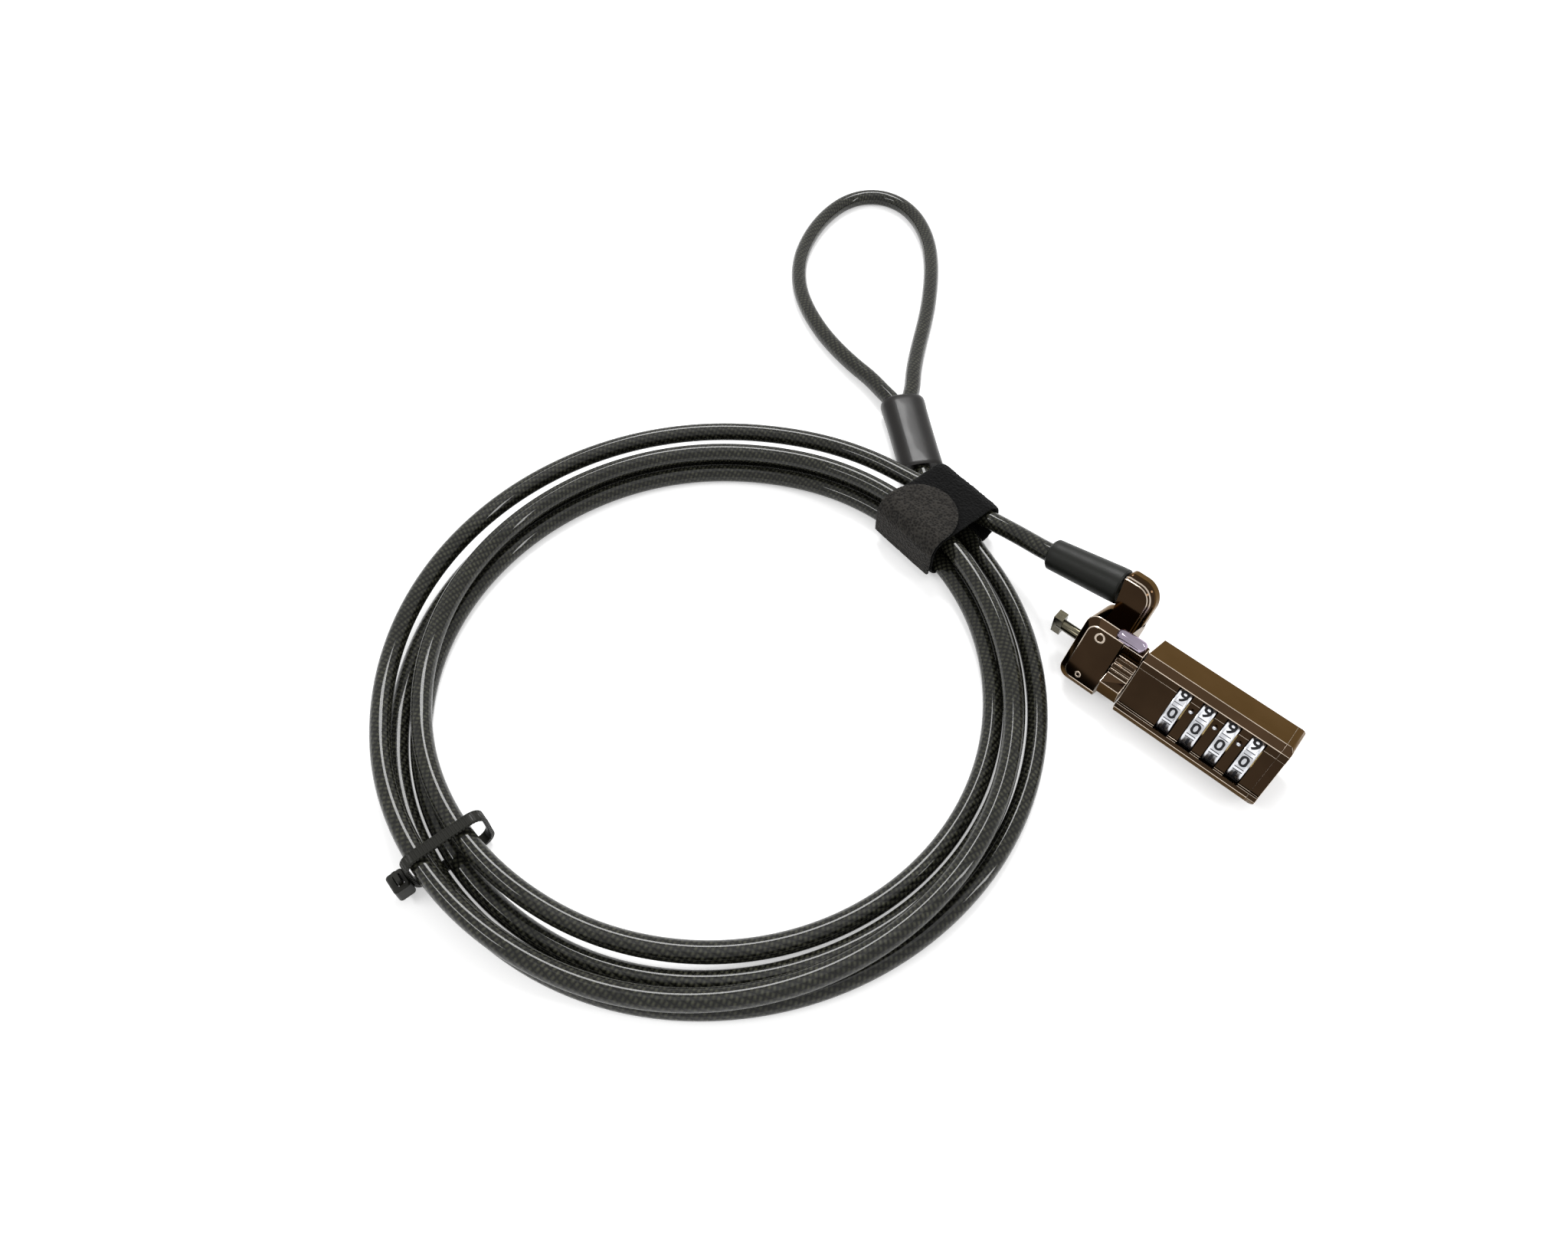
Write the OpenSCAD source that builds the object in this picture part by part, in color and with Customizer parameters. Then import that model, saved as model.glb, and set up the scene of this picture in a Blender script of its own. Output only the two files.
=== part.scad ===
// Combination cable lock for a laptop: a rolled lock body with four number dials and a
// quarter-turn T-bar, a lug with a black sleeve, and a sheathed steel cable wound in four turns.
// Millimetres. +X runs along the lock body away from its nose, +Z is up, the lock rests on z = 0.

/* [Lock body] */
// Length of the nose block along the lock
head_length = 10.6; // [9.5:0.1:12]
// Length of the open neck that the lever ring turns in
collar_gap = 5.9; // [5.4:0.1:7]
// Half of the height of the dial face
half_height = 9.25; // [9.2:0.05:9.8]
// From the spindle to the dial face
front_depth = 6.6; // [6.3:0.05:6.8]
// From the spindle to the back
back_depth = 9.4; // [9.3:0.05:10]
// Chamfer along the front edges
edge_chamfer = 1.8; // [1.6:0.1:2.2]
// Chamfer along the upper back edge
back_chamfer = 2; // [1:0.1:3]
// Angle by which the dial face leans back from upright
roll = 30; // [28:1:32]
// Height of the spindle above the resting face
axis_height = 9.3; // [9.3:0.05:9.5]

/* [Dials] */
// Distance from one dial to the next
dial_pitch = 6.2; // [6.1:0.05:6.4]
// Width of one dial
dial_width = 3.2; // [2.8:0.1:3.4]
// Radius of a dial over its edge flanges
dial_radius = 8; // [7.7:0.05:8.1]
// Middle of the first dial, from the open end of the housing
dial_first = 12.1; // [11.8:0.1:12.6]
// Middle of the last dial, from the closed end of the housing
dial_last = 7.1; // [6.9:0.1:10]
// Depth of the channel that the dials stand in
channel_depth = 0.9; // [0.5:0.1:1.2]

/* [Lever and T-bar] */
// Radius of the spindle
spindle_radius = 2; // [1.8:0.05:2.1]
// Radial clearance of every turning fit
running_gap = 0.08; // [0.05:0.01:0.1]
// How far the T-bar stands out of the nose
tbar_reach = 7.6; // [6.5:0.1:9]
// Width of the T-bar's head, which fits a 3 by 7 mm security slot
tbar_width = 6.6; // [6:0.1:6.8]
// Thickness of the T-bar's head
tbar_thick = 2.8; // [2.4:0.1:2.9]
// Radius of the lever ring over its ribs
ring_radius = 6.4; // [6.2:0.1:6.5]
// Angle of the chrome tab above the middle of the dial face
tab_angle = 54; // [50:1:56]
// Gap between the tab and the nose block's corners that it sweeps past
tab_gap = 0.18; // [0.15:0.01:0.5]

/* [Lug and sleeve] */
// Thickness of the lug plate
lug_thick = 5.2; // [4.8:0.1:5.4]
// Height of the lug above the lock body
lug_rise = 10.3; // [9.5:0.1:11]
// Radius of the lug's rounded outer corner
lug_corner = 5.5; // [4:0.1:6]
// Length of the black sleeve
sleeve_length = 21; // [18:0.5:26]
// Radius of the sleeve at the lug
sleeve_radius = 4.6; // [4.3:0.1:4.8]
// Radius of the sleeve where the cable goes in
sleeve_end_radius = 4.1; // [3.8:0.1:4.3]
// Downward slope of the sleeve away from the lug
sleeve_slope = 11; // [9:1:13]

/* [Cable] */
// Diameter of the sheathed cable
cable_d = 5; // [4.6:0.1:5.1]
// Mean radius of the coil's outer place on the floor
coil_outer = 80.3; // [79.8:0.1:81]
// Step from one place in the coil to the next
coil_step = 5.45; // [5.45:0.01:5.6]
// Height of the crossing strand above the floor strands
coil_lift = 5.5; // [5.45:0.05:5.7]
// Thickness of the strap and of the tie under the cable
wrap_lift = 1.2; // [1.1:0.1:1.3]

/* [Ferrule, strap and tie] */
// Length of the ferrule's black cover
ferrule_length = 28; // [24:0.5:28]
// Half thickness of the ferrule's cover
ferrule_radius = 4; // [3.9:0.1:4.2]
// Width of the hook-and-loop strap
strap_width = 21; // [16:0.5:22]
// Width of the cable tie
tie_width = 2.6; // [2.2:0.1:3.6]

/* [Hidden] */
$fn = 64;
eps = 0.01;

steel = [0.17, 0.14, 0.12];
chrome = [0.85, 0.83, 0.88];
silver = [0.72, 0.73, 0.75];
black = [0.05, 0.05, 0.05];
cable_color = [0.16, 0.17, 0.13];

// places along the lock
body_length = dial_first + 3 * dial_pitch + dial_last;
total_x = tbar_reach + head_length + collar_gap + body_length;
x_tip = -total_x / 2;
x_nose = x_tip + tbar_reach;
x_head = x_nose + head_length;
x_body = x_head + collar_gap;
x_end = x_body + body_length;
cap_thick = 2.2;
wall = 1;

// the lock's middle in Y, from its front edge and the back of its lug
lug_front = 3.1;
lug_back = lug_front + lug_thick;
lug_top = half_height + lug_rise;
edge_y = -(front_depth * cos(roll) + (half_height - edge_chamfer) * sin(roll));
lug_y = lug_back * cos(roll) + lug_top * sin(roll);
shift_y = -(edge_y + lug_y) / 2;

// a local frame on the spindle: +Y to the back of the lock, +Z up along its dial face
module rolled() {
    translate([0, shift_y, axis_height])
        rotate([-roll, 0, 0])
            children();
}

// a 2D outline in that frame's Y and Z, drawn out along X
module along_x(x0, x1) {
    translate([x0, 0, 0])
        rotate([90, 0, 90])
            linear_extrude(x1 - x0)
                children();
}

module rod(x0, x1, r) {
    translate([x0, 0, 0])
        rotate([0, 90, 0])
            cylinder(h = x1 - x0, r = r);
}

// where the resting face meets the bottom and the back of the section
rest_bottom_y = (axis_height - half_height * cos(roll)) / sin(roll);
rest_back_z = (back_depth * sin(roll) - axis_height) / cos(roll);

module section(top) {
    polygon([
        [-front_depth, -half_height + edge_chamfer],
        [-front_depth + edge_chamfer, -half_height],
        [rest_bottom_y, -half_height],
        [back_depth, rest_back_z],
        [back_depth, top - back_chamfer],
        [back_depth - back_chamfer, top],
        [-front_depth + edge_chamfer, top],
        [-front_depth, top - edge_chamfer]
    ]);
}

// ---- nose block ----
mark_depth = 0.3;
mark_x = 5.3;
open_mark_z = 5.3;
shut_mark_z = -5.9;
mark_ring = 1.3;
mark_dot = 0.8;
tenon_depth = 4;
tenon_x = 1.5;
tenon_length = 5.5;
nose_cut = 3;

module head_block() {
    color(steel)
    rolled()
    difference() {
        along_x(x_nose, x_head) section(half_height);
        rod(x_nose - eps, x_head + eps, spindle_radius + running_gap);
        // bevel between the dial side and the nose
        translate([x_nose, -front_depth, 0])
            rotate([0, 0, 45])
                cube([nose_cut, nose_cut, 3 * half_height], center = true);
        // pocket for the lug's tenon
        translate([lug_x0 + tenon_x, lug_front, half_height - tenon_depth])
            cube([tenon_length, lug_thick, tenon_depth + 1]);
        // the two lever marks: a ring and a dot
        translate([x_nose + mark_x, -front_depth - eps, open_mark_z])
            rotate([-90, 0, 0])
                difference() {
                    cylinder(h = mark_depth, r = mark_ring);
                    translate([0, 0, -eps]) cylinder(h = mark_depth + 1, r = mark_dot);
                }
        translate([x_nose + mark_x, -front_depth - eps, shut_mark_z])
            rotate([-90, 0, 0])
                cylinder(h = mark_depth, r = mark_dot);
        // seat of the neck tube
        rod(x_head - neck_seat, x_head + 1, neck_radius);
    }
}

// ---- neck tube that joins the nose block to the housing ----
neck_radius = 4;
neck_seat = 2;
neck_bore = spindle_radius + running_gap;
pin_radius = 0.8;
lever_sweep = 90;
slot_margin = asin((pin_radius + running_gap) / neck_bore);
slot_half = pin_radius + 0.2;
ring_mid = (x_head + x_body) / 2;

module head_neck() {
    color(steel)
    rolled()
    difference() {
        rod(x_head - neck_seat, x_body + neck_seat, neck_radius);
        rod(x_head - neck_seat - eps, x_body + neck_seat + eps, neck_bore);
        // slot that the lever's pin sweeps
        translate([ring_mid - slot_half, 0, 0])
            rotate([0, 90, 0])
                rotate_extrude(angle = lever_sweep + 2 * slot_margin, start = pin_start)
                    translate([neck_bore - 0.5, 0])
                        square([neck_radius, 2 * slot_half]);
    }
}

// in rod coordinates 0 degrees points down and 90 degrees to the back
pin_start = 180 + (90 - tab_angle) - slot_margin;

// ---- dial housing ----
channel_top = 4.6;
channel_low = -6.2;
slot_gap = 0.3;
slot_reach = 6.4;
slot_square = 1.9;
clutch_room = 1.6;
clutch_flange = 0.7;
clutch_bore = 5;
bump_z = 2.3;
housing_top = half_height - 0.9;

function dial_x(i) = x_body + dial_first + i * dial_pitch;

module housing_shell() {
    color(steel)
    rolled() {
        difference() {
            along_x(x_body, x_end - cap_thick) section(housing_top);
            rod(x_body - eps, x_end, spindle_radius + running_gap);
            rod(x_body - eps, x_body + neck_seat, neck_radius);
            // channel along the dial face
            translate([x_body - eps, -front_depth - 1, channel_low])
                cube([body_length, 1 + channel_depth, channel_top - channel_low]);
            // one round slot for each dial, squared off where it opens in the dial face
            for (i = [0:3]) {
                rod(dial_x(i) - dial_width / 2 - slot_gap,
                    dial_x(i) + dial_width / 2 + slot_gap, dial_radius + 0.25);
                translate([dial_x(i) - dial_width / 2 - slot_gap, -front_depth - 1, -slot_reach])
                    cube([dial_width + 2 * slot_gap, 1 + slot_square, 2 * slot_reach]);
            }
            // bore that the clutches go in by, and room for the detent spring
            rod(dial_x(0) - dial_width / 2 - clutch_room, x_end, clutch_bore);
            translate([dial_x(0) - dial_width / 2 - slot_gap, -spring_room / 2, -housing_spring])
                cube([3 * dial_pitch + dial_width + 2 * slot_gap, spring_room,
                    housing_spring - clutch_bore + 1]);
            // screw hole for the end cap
            translate([0, screw_y, screw_z])
                rod(x_end - cap_thick - screw_depth, x_end, screw_radius);
        }
        // reading marks between the dials
        for (i = [0:2])
            translate([dial_x(i) + dial_pitch / 2, -front_depth + channel_depth, bump_z])
                rotate([90, 0, 0])
                    cylinder(h = 0.5, r = 0.6);
    }
}

housing_spring = 8.2;
spring_room = 3.2;
spring_width = 2.6;
screw_y = 7.3;
screw_z = 5.2;
screw_depth = 6;
screw_radius = 0.9;
cap_screw_head = 1.6;
reset_radius = 1.7;

module housing_end_cap() {
    color(steel)
    rolled()
    difference() {
        along_x(x_end - cap_thick, x_end) section(housing_top);
        translate([x_end - cap_thick - eps, -front_depth - 1, channel_low])
            cube([cap_thick + 1, 1 + channel_depth, channel_top - channel_low]);
        rod(x_end - cap_thick - eps, x_end + eps, reset_radius + running_gap);
        translate([0, screw_y, screw_z]) {
            rod(x_end - cap_thick - eps, x_end + eps, screw_radius + 0.1);
            rod(x_end - 1.2, x_end + eps, cap_screw_head + 0.1);
        }
    }
}

module end_cap_screw() {
    color(silver)
    rolled()
    translate([0, screw_y, screw_z])
    difference() {
        union() {
            rod(x_end - cap_thick - screw_depth + 0.5, x_end - 1.2, screw_radius);
            rod(x_end - 1.2, x_end - 0.2, cap_screw_head);
        }
        translate([x_end - 0.2, 0, 0])
            cube([1, 2 * cap_screw_head + 1, 0.5], center = true);
    }
}

// the screw that is turned to set a new number
module code_reset_screw() {
    color(silver)
    rolled()
    difference() {
        rod(spindle_end + 0.3, x_end - 0.2, reset_radius);
        translate([x_end - 0.2, 0, 0])
            cube([1.2, 2 * reset_radius + 1, 0.6], center = true);
    }
}

// leaf spring with four fingers that press on the dials' flanks
module detent_spring() {
    color(silver)
    rolled()
    translate([dial_x(0) - dial_width / 2, -spring_width / 2, -housing_spring + 0.05])
        difference() {
            cube([3 * dial_pitch + dial_width, spring_width, 0.15]);
            for (i = [0:2])
                translate([dial_width + i * dial_pitch + 0.4, 0.6, -1])
                    cube([dial_pitch - dial_width - 0.8, 3, 3]);
        }
}

// ---- lever ring with its chrome tab ----
rib_first = -26;
rib_step = 14;
rib_count = 3;
rib_width = 0.8;
rib_height = 0.4;
ring_side = 0.25;
tab_arm_width = 3.2;
block_width = 5.2;
block_reach = 8.8;

// a bar of the ring's outline from the neck out to reach, angle degrees below the dial side
module bar(angle, reach, width) {
    rotate(angle)
        translate([-reach, -width / 2])
            square([reach - neck_radius, width]);
}

module lever_ring() {
    color(steel)
    rolled()
    difference() {
        along_x(x_head + ring_side, x_body - ring_side)
            difference() {
                union() {
                    circle(ring_radius - rib_height);
                    for (i = [0:rib_count - 1])
                        bar(rib_first + i * rib_step, ring_radius, rib_width);
                    bar(-tab_angle, tab_distance - tab_half, tab_arm_width);
                    bar(90 - tab_angle, block_reach, block_width);
                }
                circle(neck_radius + running_gap);
            }
        // hole for the pin below the tab
        rotate([-tab_angle, 0, 0])
            translate([ring_mid, -neck_radius + 1, 0])
                rotate([90, 0, 0])
                    cylinder(h = tab_distance, r = pin_radius);
    }
}

tab_half = 1.3;
tab_round = 1.5;
tab_length = 7.7;
tab_overhang = 2.5;
tab_distance = norm([front_depth - edge_chamfer, half_height]) + tab_gap + tab_half;

// pill-shaped chrome tab that a thumb pushes
module lever_tab() {
    color(chrome)
    rolled()
    rotate([-tab_angle, 0, 0])
        translate([x_head - tab_overhang + tab_round, -tab_distance, 0])
            rotate([90, 0, 0])
                linear_extrude(2 * tab_half, center = true)
                    union() {
                        circle(tab_round);
                        translate([tab_length - 2 * tab_round, 0]) circle(tab_round);
                        translate([0, -tab_round])
                            square([tab_length - 2 * tab_round, 2 * tab_round]);
                    }
}

module lever_pin() {
    color(silver)
    rolled()
    rotate([-tab_angle, 0, 0])
        translate([ring_mid, -1, 0])
            rotate([90, 0, 0])
                cylinder(h = tab_distance - tab_half - 1.2, r = pin_radius);
}

// ---- T-bar and the spindle through the dials ----
neck_round = 1.45;
tbar_head = 2.4;
clip_x = dial_x(3) + dial_width / 2 + clutch_flange + 0.3;
clip_thick = 0.6;
spindle_end = clip_x + clip_thick + 0.8;

module t_bar_spindle() {
    color(silver)
    rolled()
    difference() {
        union() {
            rod(x_nose, spindle_end, spindle_radius);
            rod(x_tip + tbar_head / 2, x_nose + 1, neck_round);
            rotate([90 - tab_angle, 0, 0])
                translate([x_tip, -tbar_thick / 2, -tbar_width / 2])
                    cube([tbar_head, tbar_thick, tbar_width]);
        }
        // cross hole for the lever's pin
        rotate([-tab_angle, 0, 0])
            translate([ring_mid, -1, 0])
                rotate([90, 0, 0])
                    cylinder(h = 4, r = pin_radius);
        // groove for the clip
        difference() {
            rod(clip_x, clip_x + clip_thick, spindle_radius + 1);
            rod(clip_x - 1, clip_x + clip_thick + 1, spindle_radius - 0.4);
        }
    }
}

module spindle_clip() {
    color(silver)
    rolled()
    difference() {
        rod(clip_x, clip_x + clip_thick, spindle_radius + 0.9);
        rod(clip_x - eps, clip_x + clip_thick + eps, spindle_radius - 0.4);
        translate([clip_x - eps, -0.9, 0])
            cube([clip_thick + 2 * eps, 1.8, 4]);
    }
}

// ---- dials ----
flange_width = 0.45;
flange_height = 0.3;
frame_height = 3.7;
frame_depth = 0.2;
hub_radius = 4;

module dial(i) {
    color(silver)
    rolled()
    difference() {
        union() {
            rod(dial_x(i) - dial_width / 2, dial_x(i) + dial_width / 2,
                dial_radius - flange_height);
            for (s = [-1, 1])
                rod(dial_x(i) + s * (dial_width - flange_width) / 2 - flange_width / 2,
                    dial_x(i) + s * (dial_width - flange_width) / 2 + flange_width / 2,
                    dial_radius);
        }
        rod(dial_x(i) - dial_width, dial_x(i) + dial_width, hub_radius);
        // ten number panels
        for (k = [0:9])
            rotate([k * 36, 0, 0])
                translate([dial_x(i) - dial_width / 2 + flange_width + 0.15,
                    -dial_radius + flange_height - 1 + frame_depth, -frame_height / 2])
                    cube([dial_width - 2 * flange_width - 0.3, 1, frame_height]);
    }
}

module dial_1() {
    dial(0);
}

module dial_2() {
    dial(1);
}

module dial_3() {
    dial(2);
}

module dial_4() {
    dial(3);
}

// notched hub inside each dial
module dial_clutch(i) {
    color(chrome)
    rolled()
    difference() {
        union() {
            rod(dial_x(i) - dial_width / 2, dial_x(i) + dial_width / 2, hub_radius);
            rod(dial_x(i) + dial_width / 2, dial_x(i) + dial_width / 2 + clutch_flange,
                hub_radius + 0.6);
        }
        rod(dial_x(i) - dial_width, dial_x(i) + dial_width, spindle_radius + running_gap);
        translate([dial_x(i) + dial_width / 2 + clutch_flange / 2, 0, hub_radius])
            cube([clutch_flange + eps, 1.2, 2.4], center = true);
    }
}

module dial_clutch_1() {
    dial_clutch(0);
}

module dial_clutch_2() {
    dial_clutch(1);
}

module dial_clutch_3() {
    dial_clutch(2);
}

module dial_clutch_4() {
    dial_clutch(3);
}

// ---- lug that the cable is fixed to ----
lug_x0 = x_nose + 1.1;
lug_length = head_length - 1.1;
lug_small_corner = 1.5;
fitting_radius = 2.4;
fitting_deep = 5.4;

// middle of the sleeve's end on the lug, in the row's frame
lug_mid_z = half_height + sleeve_radius + 0.9;
sleeve_x = lug_x0 + sleeve_radius * tan(sleeve_slope);
sleeve_y = shift_y + (lug_front + lug_back) / 2 * cos(roll) + lug_mid_z * sin(roll);
sleeve_z = axis_height - (lug_front + lug_back) / 2 * sin(roll) + lug_mid_z * cos(roll);

// along the sleeve: +Z of this frame runs from the lug into the cable
module along_sleeve() {
    translate([sleeve_x, sleeve_y, sleeve_z])
        rotate([0, -90 - sleeve_slope, 0])
            children();
}

// the lug's face, seen from the back of the lock, from its left foot
module lug_face() {
    union() {
        square([lug_length, lug_rise - lug_corner]);
        square([lug_length - lug_corner, lug_rise - lug_small_corner]);
        translate([lug_small_corner, 0])
            square([lug_length - lug_small_corner - lug_corner, lug_rise]);
        translate([lug_length - lug_corner, lug_rise - lug_corner]) circle(lug_corner);
        translate([lug_small_corner, lug_rise - lug_small_corner]) circle(lug_small_corner);
        // tenon in the nose block
        translate([tenon_x, -tenon_depth]) square([tenon_length, tenon_depth + 1]);
    }
}

module cable_lug() {
    color(steel)
    difference() {
        rolled()
            translate([lug_x0, lug_back, half_height])
                rotate([90, 0, 0])
                    linear_extrude(lug_thick)
                        lug_face();
        // face square to the sleeve
        along_sleeve()
            translate([-lug_rise, -lug_rise, 0])
                cube([2 * lug_rise, 2 * lug_rise, lug_rise]);
        // bore for the cable's end fitting, wider at its inner end
        along_sleeve()
            translate([0, 0, -fitting_deep])
                cylinder(h = fitting_deep + 3, r = fitting_neck + running_gap);
        along_sleeve()
            translate([0, 0, -fitting_deep])
                cylinder(h = fitting_deep - fitting_wall, r = fitting_radius - 0.3);
    }
}

fitting_neck = 1.6;
fitting_wall = 2.6;
rivet_in = 2.2;
rivet_up = 3.2;
rivet_height = 0.5;
rivet_radius = 1.3;

module lug_rivet() {
    color(chrome)
    rolled()
    translate([lug_x0 + lug_length - rivet_in, lug_back, half_height + rivet_up])
        rotate([-90, 0, 0])
            cylinder(h = rivet_height, r = rivet_radius);
}

module cable_end_fitting() {
    color(silver)
    along_sleeve()
    union() {
        translate([0, 0, -fitting_deep + 0.3])
            cylinder(h = fitting_deep - fitting_wall - 0.6, r = fitting_radius - 0.4);
        translate([0, 0, -fitting_deep + 0.3])
            cylinder(h = fitting_deep + sleeve_gap + 4, r = fitting_neck);
    }
}

sleeve_gap = 0.3;
socket_deep = 4;
socket_gap = 0.1;

module cable_sleeve() {
    color(black)
    along_sleeve()
    rotate_extrude()
        polygon([
            [fitting_neck, sleeve_gap],
            [sleeve_radius - 0.4, sleeve_gap],
            [sleeve_radius, sleeve_gap + 0.4],
            [sleeve_radius, sleeve_gap + 3],
            [sleeve_end_radius, sleeve_length - 0.6],
            [sleeve_end_radius - 0.6, sleeve_length],
            [cable_d / 2 + socket_gap, sleeve_length],
            [cable_d / 2 + socket_gap, sleeve_length - socket_deep],
            [0, sleeve_length - socket_deep],
            [0, sleeve_gap + 4],
            [fitting_neck, sleeve_gap + 4]
        ]);
}

// ---- tubes swept along points ----
function unit(v) = v / norm(v);
function tangent(p, i) = unit(p[min(i + 1, len(p) - 1)] - p[max(i - 1, 0)]);
function sideways(t) = unit(cross(t, [0, 0, 1]));
function ring(c, t, r, n) = let (s = sideways(t), u = cross(s, t))
    [for (k = [0:n - 1]) c + r * cos(k * 360 / n) * s + r * sin(k * 360 / n) * u];
function flat_list(l) = [for (a = l) for (b = a) b];

module tube(p, r, n) {
    rings = [for (i = [0:len(p) - 1]) ring(p[i], tangent(p, i), r, n)];
    m = len(p);
    sides = [for (i = [0:m - 2]) for (k = [0:n - 1]) each [
        [i * n + k, i * n + (k + 1) % n, (i + 1) * n + (k + 1) % n],
        [i * n + k, (i + 1) * n + (k + 1) % n, (i + 1) * n + k]
    ]];
    first = [for (k = [1:n - 2]) [0, k + 1, k]];
    last = [for (k = [1:n - 2]) [(m - 1) * n, (m - 1) * n + k, (m - 1) * n + k + 1]];
    polyhedron(points = flat_list(rings), faces = concat(sides, first, last), convexity = 8);
}

// ---- coil: four turns, clockwise from above, stepping inwards and then over the others ----
coil_x = -85.1;
coil_y = -72;
start_az = 68;
coil_sweep = 1412;
strap_az = 82;
tie_az = 262;
coil_rings_per_turn = 24;
step_at = 120;
step_over = 150;

function ease(x) = x <= 0 ? 0 : (x >= 1 ? 1 : x * x * (3 - 2 * x));
function wrap180(a) = a - 360 * round(a / 360);
function lift(az) = wrap_lift * (exp(-pow(wrap180(az - strap_az) / 34, 4))
    + exp(-pow(wrap180(az - tie_az) / 24, 4)));
function coil_r(t) = coil_outer
    - coil_step * (ease((t - step_at) / step_over) + ease((t - step_at - 360) / step_over))
    + coil_step / 2 * ease((t - step_at - 720) / step_over)
    + 1.5 * coil_step * ease((t - step_at - 960) / 130);
function coil_z(t) = cable_d / 2 + lift(start_az - t)
    + coil_lift * ease((t - step_at - 660) / 110);
function coil_at(t) = [
    coil_x + coil_r(t) * cos(start_az - t),
    coil_y + coil_r(t) * sin(start_az - t),
    coil_z(t)];
coil_count = round(coil_sweep / 360 * coil_rings_per_turn);
coil_mid = [for (i = [0:coil_count]) coil_at(coil_sweep * i / coil_count)];
coil_in = unit(coil_at(0.5) - coil_at(0));
coil_out = unit(coil_at(coil_sweep) - coil_at(coil_sweep - 0.5));
coil_points = concat(
    [coil_mid[0] - cable_d * coil_in],
    coil_mid,
    [coil_mid[coil_count] + cable_d * coil_out]);

// least gap of the coil to itself, from its points to its stretches two or more steps away
function to_stretch(p, a, b) = let (d = b - a, t = max(0, min(1, ((p - a) * d) / (d * d))))
    norm(p - a - t * d);
coil_self_gap = min([for (i = [0:len(coil_points) - 1])
    for (j = [i + 6:len(coil_points) - 2])
        to_stretch(coil_points[i], coil_points[j], coil_points[j + 1])]) - cable_d;
echo(coil_self_gap = coil_self_gap);

module cable_coil() {
    color(cable_color)
        tube(coil_points, cable_d / 2, 6);
}

// ---- free stretches ----
lead_end = coil_points[0];
ferrule_from = [-111.5, 34.6];
ferrule_dir = -39;
ferrule_z = 4;
ferrule_half = 2.65;
mouth = 2;

function ferrule_at(d, side, z) = [
    ferrule_from[0] + d * cos(ferrule_dir) - side * sin(ferrule_dir),
    ferrule_from[1] + d * sin(ferrule_dir) + side * cos(ferrule_dir),
    z];

lead_points = [
    ferrule_at(ferrule_length - mouth, 0, ferrule_z),
    ferrule_at(ferrule_length + 1, 0, ferrule_z),
    [-83.4, 12.3, 3.8],
    [-76.8, 9, 3.7],
    [-70, 7.4, 3.7],
    lead_end - 4 * coil_in,
    lead_end
];

module cable_lead() {
    color(cable_color)
        tube(lead_points, cable_d / 2, 8);
}

eye_points = [
    ferrule_at(mouth, -ferrule_half, 4),
    ferrule_at(-1, -ferrule_half, 4),
    [-119, 34.7, 3.8],
    [-126, 36.8, 3.4],
    [-134, 38.4, 3],
    [-142, 40.4, 2.7],
    [-150, 43, 2.5],
    [-157.5, 46.2, 2.5],
    [-164.5, 50, 2.5],
    [-171, 54.6, 2.5],
    [-177, 60.4, 2.5],
    [-182.2, 67.2, 2.5],
    [-186.4, 75, 2.5],
    [-189.6, 83.6, 2.5],
    [-191.4, 92.4, 2.5],
    [-191.4, 100.6, 2.5],
    [-188.8, 107.6, 2.5],
    [-183.4, 112.2, 2.5],
    [-176, 113.4, 2.5],
    [-168.2, 111.4, 2.5],
    [-160.8, 107.2, 2.5],
    [-154, 101.6, 2.5],
    [-148, 95.2, 2.5],
    [-142.8, 88.6, 2.5],
    [-138, 81.8, 2.5],
    [-133.6, 75, 2.5],
    [-129.6, 68.2, 2.6],
    [-125.8, 61.4, 2.8],
    [-122, 54.8, 3.1],
    [-118, 48.4, 3.5],
    [-113.8, 42.4, 3.8],
    ferrule_at(-1, ferrule_half, 4),
    ferrule_at(mouth, ferrule_half, 4)
];

module cable_eye() {
    color(cable_color)
        tube(eye_points, cable_d / 2, 8);
}

tail_from = coil_points[len(coil_points) - 1];
slope_dir = [-cos(sleeve_slope), 0, -sin(sleeve_slope)];
sleeve_from = [sleeve_x, sleeve_y, sleeve_z];
tail_in = sleeve_from + (sleeve_length - socket_deep) * slope_dir;
tail_out = sleeve_from + (sleeve_length + 2) * slope_dir;

tail_points = [
    tail_from,
    tail_from + 4 * coil_out,
    [-76, 9.8, 9.4],
    [-68, 10.4, 9.8],
    [-60, 10.5, 10.8],
    [-52.5, 9.9, 12.4],
    tail_out,
    tail_in
];

module cable_tail() {
    color(cable_color)
        tube(tail_points, cable_d / 2, 8);
}

// ---- ferrule that closes the eye ----
module stadium(r, half) {
    union() {
        translate([0, -half]) circle(r);
        translate([0, half]) circle(r);
        translate([-r, -half]) square([2 * r, 2 * half]);
    }
}

module along_ferrule(d0, d1) {
    translate([ferrule_from[0], ferrule_from[1], ferrule_z])
        rotate([0, 0, ferrule_dir])
            translate([d0, 0, 0])
                rotate([0, 90, 0])
                    linear_extrude(d1 - d0)
                        children();
}

crimp_radius = ferrule_radius - 0.9;

module eye_ferrule() {
    color(silver)
        along_ferrule(mouth, ferrule_length - mouth)
            stadium(crimp_radius, ferrule_half);
}

module ferrule_cover() {
    color(black)
    difference() {
        along_ferrule(0, ferrule_length)
            stadium(ferrule_radius, ferrule_half);
        along_ferrule(-eps, ferrule_length + eps)
            stadium(crimp_radius, ferrule_half);
    }
}

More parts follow.
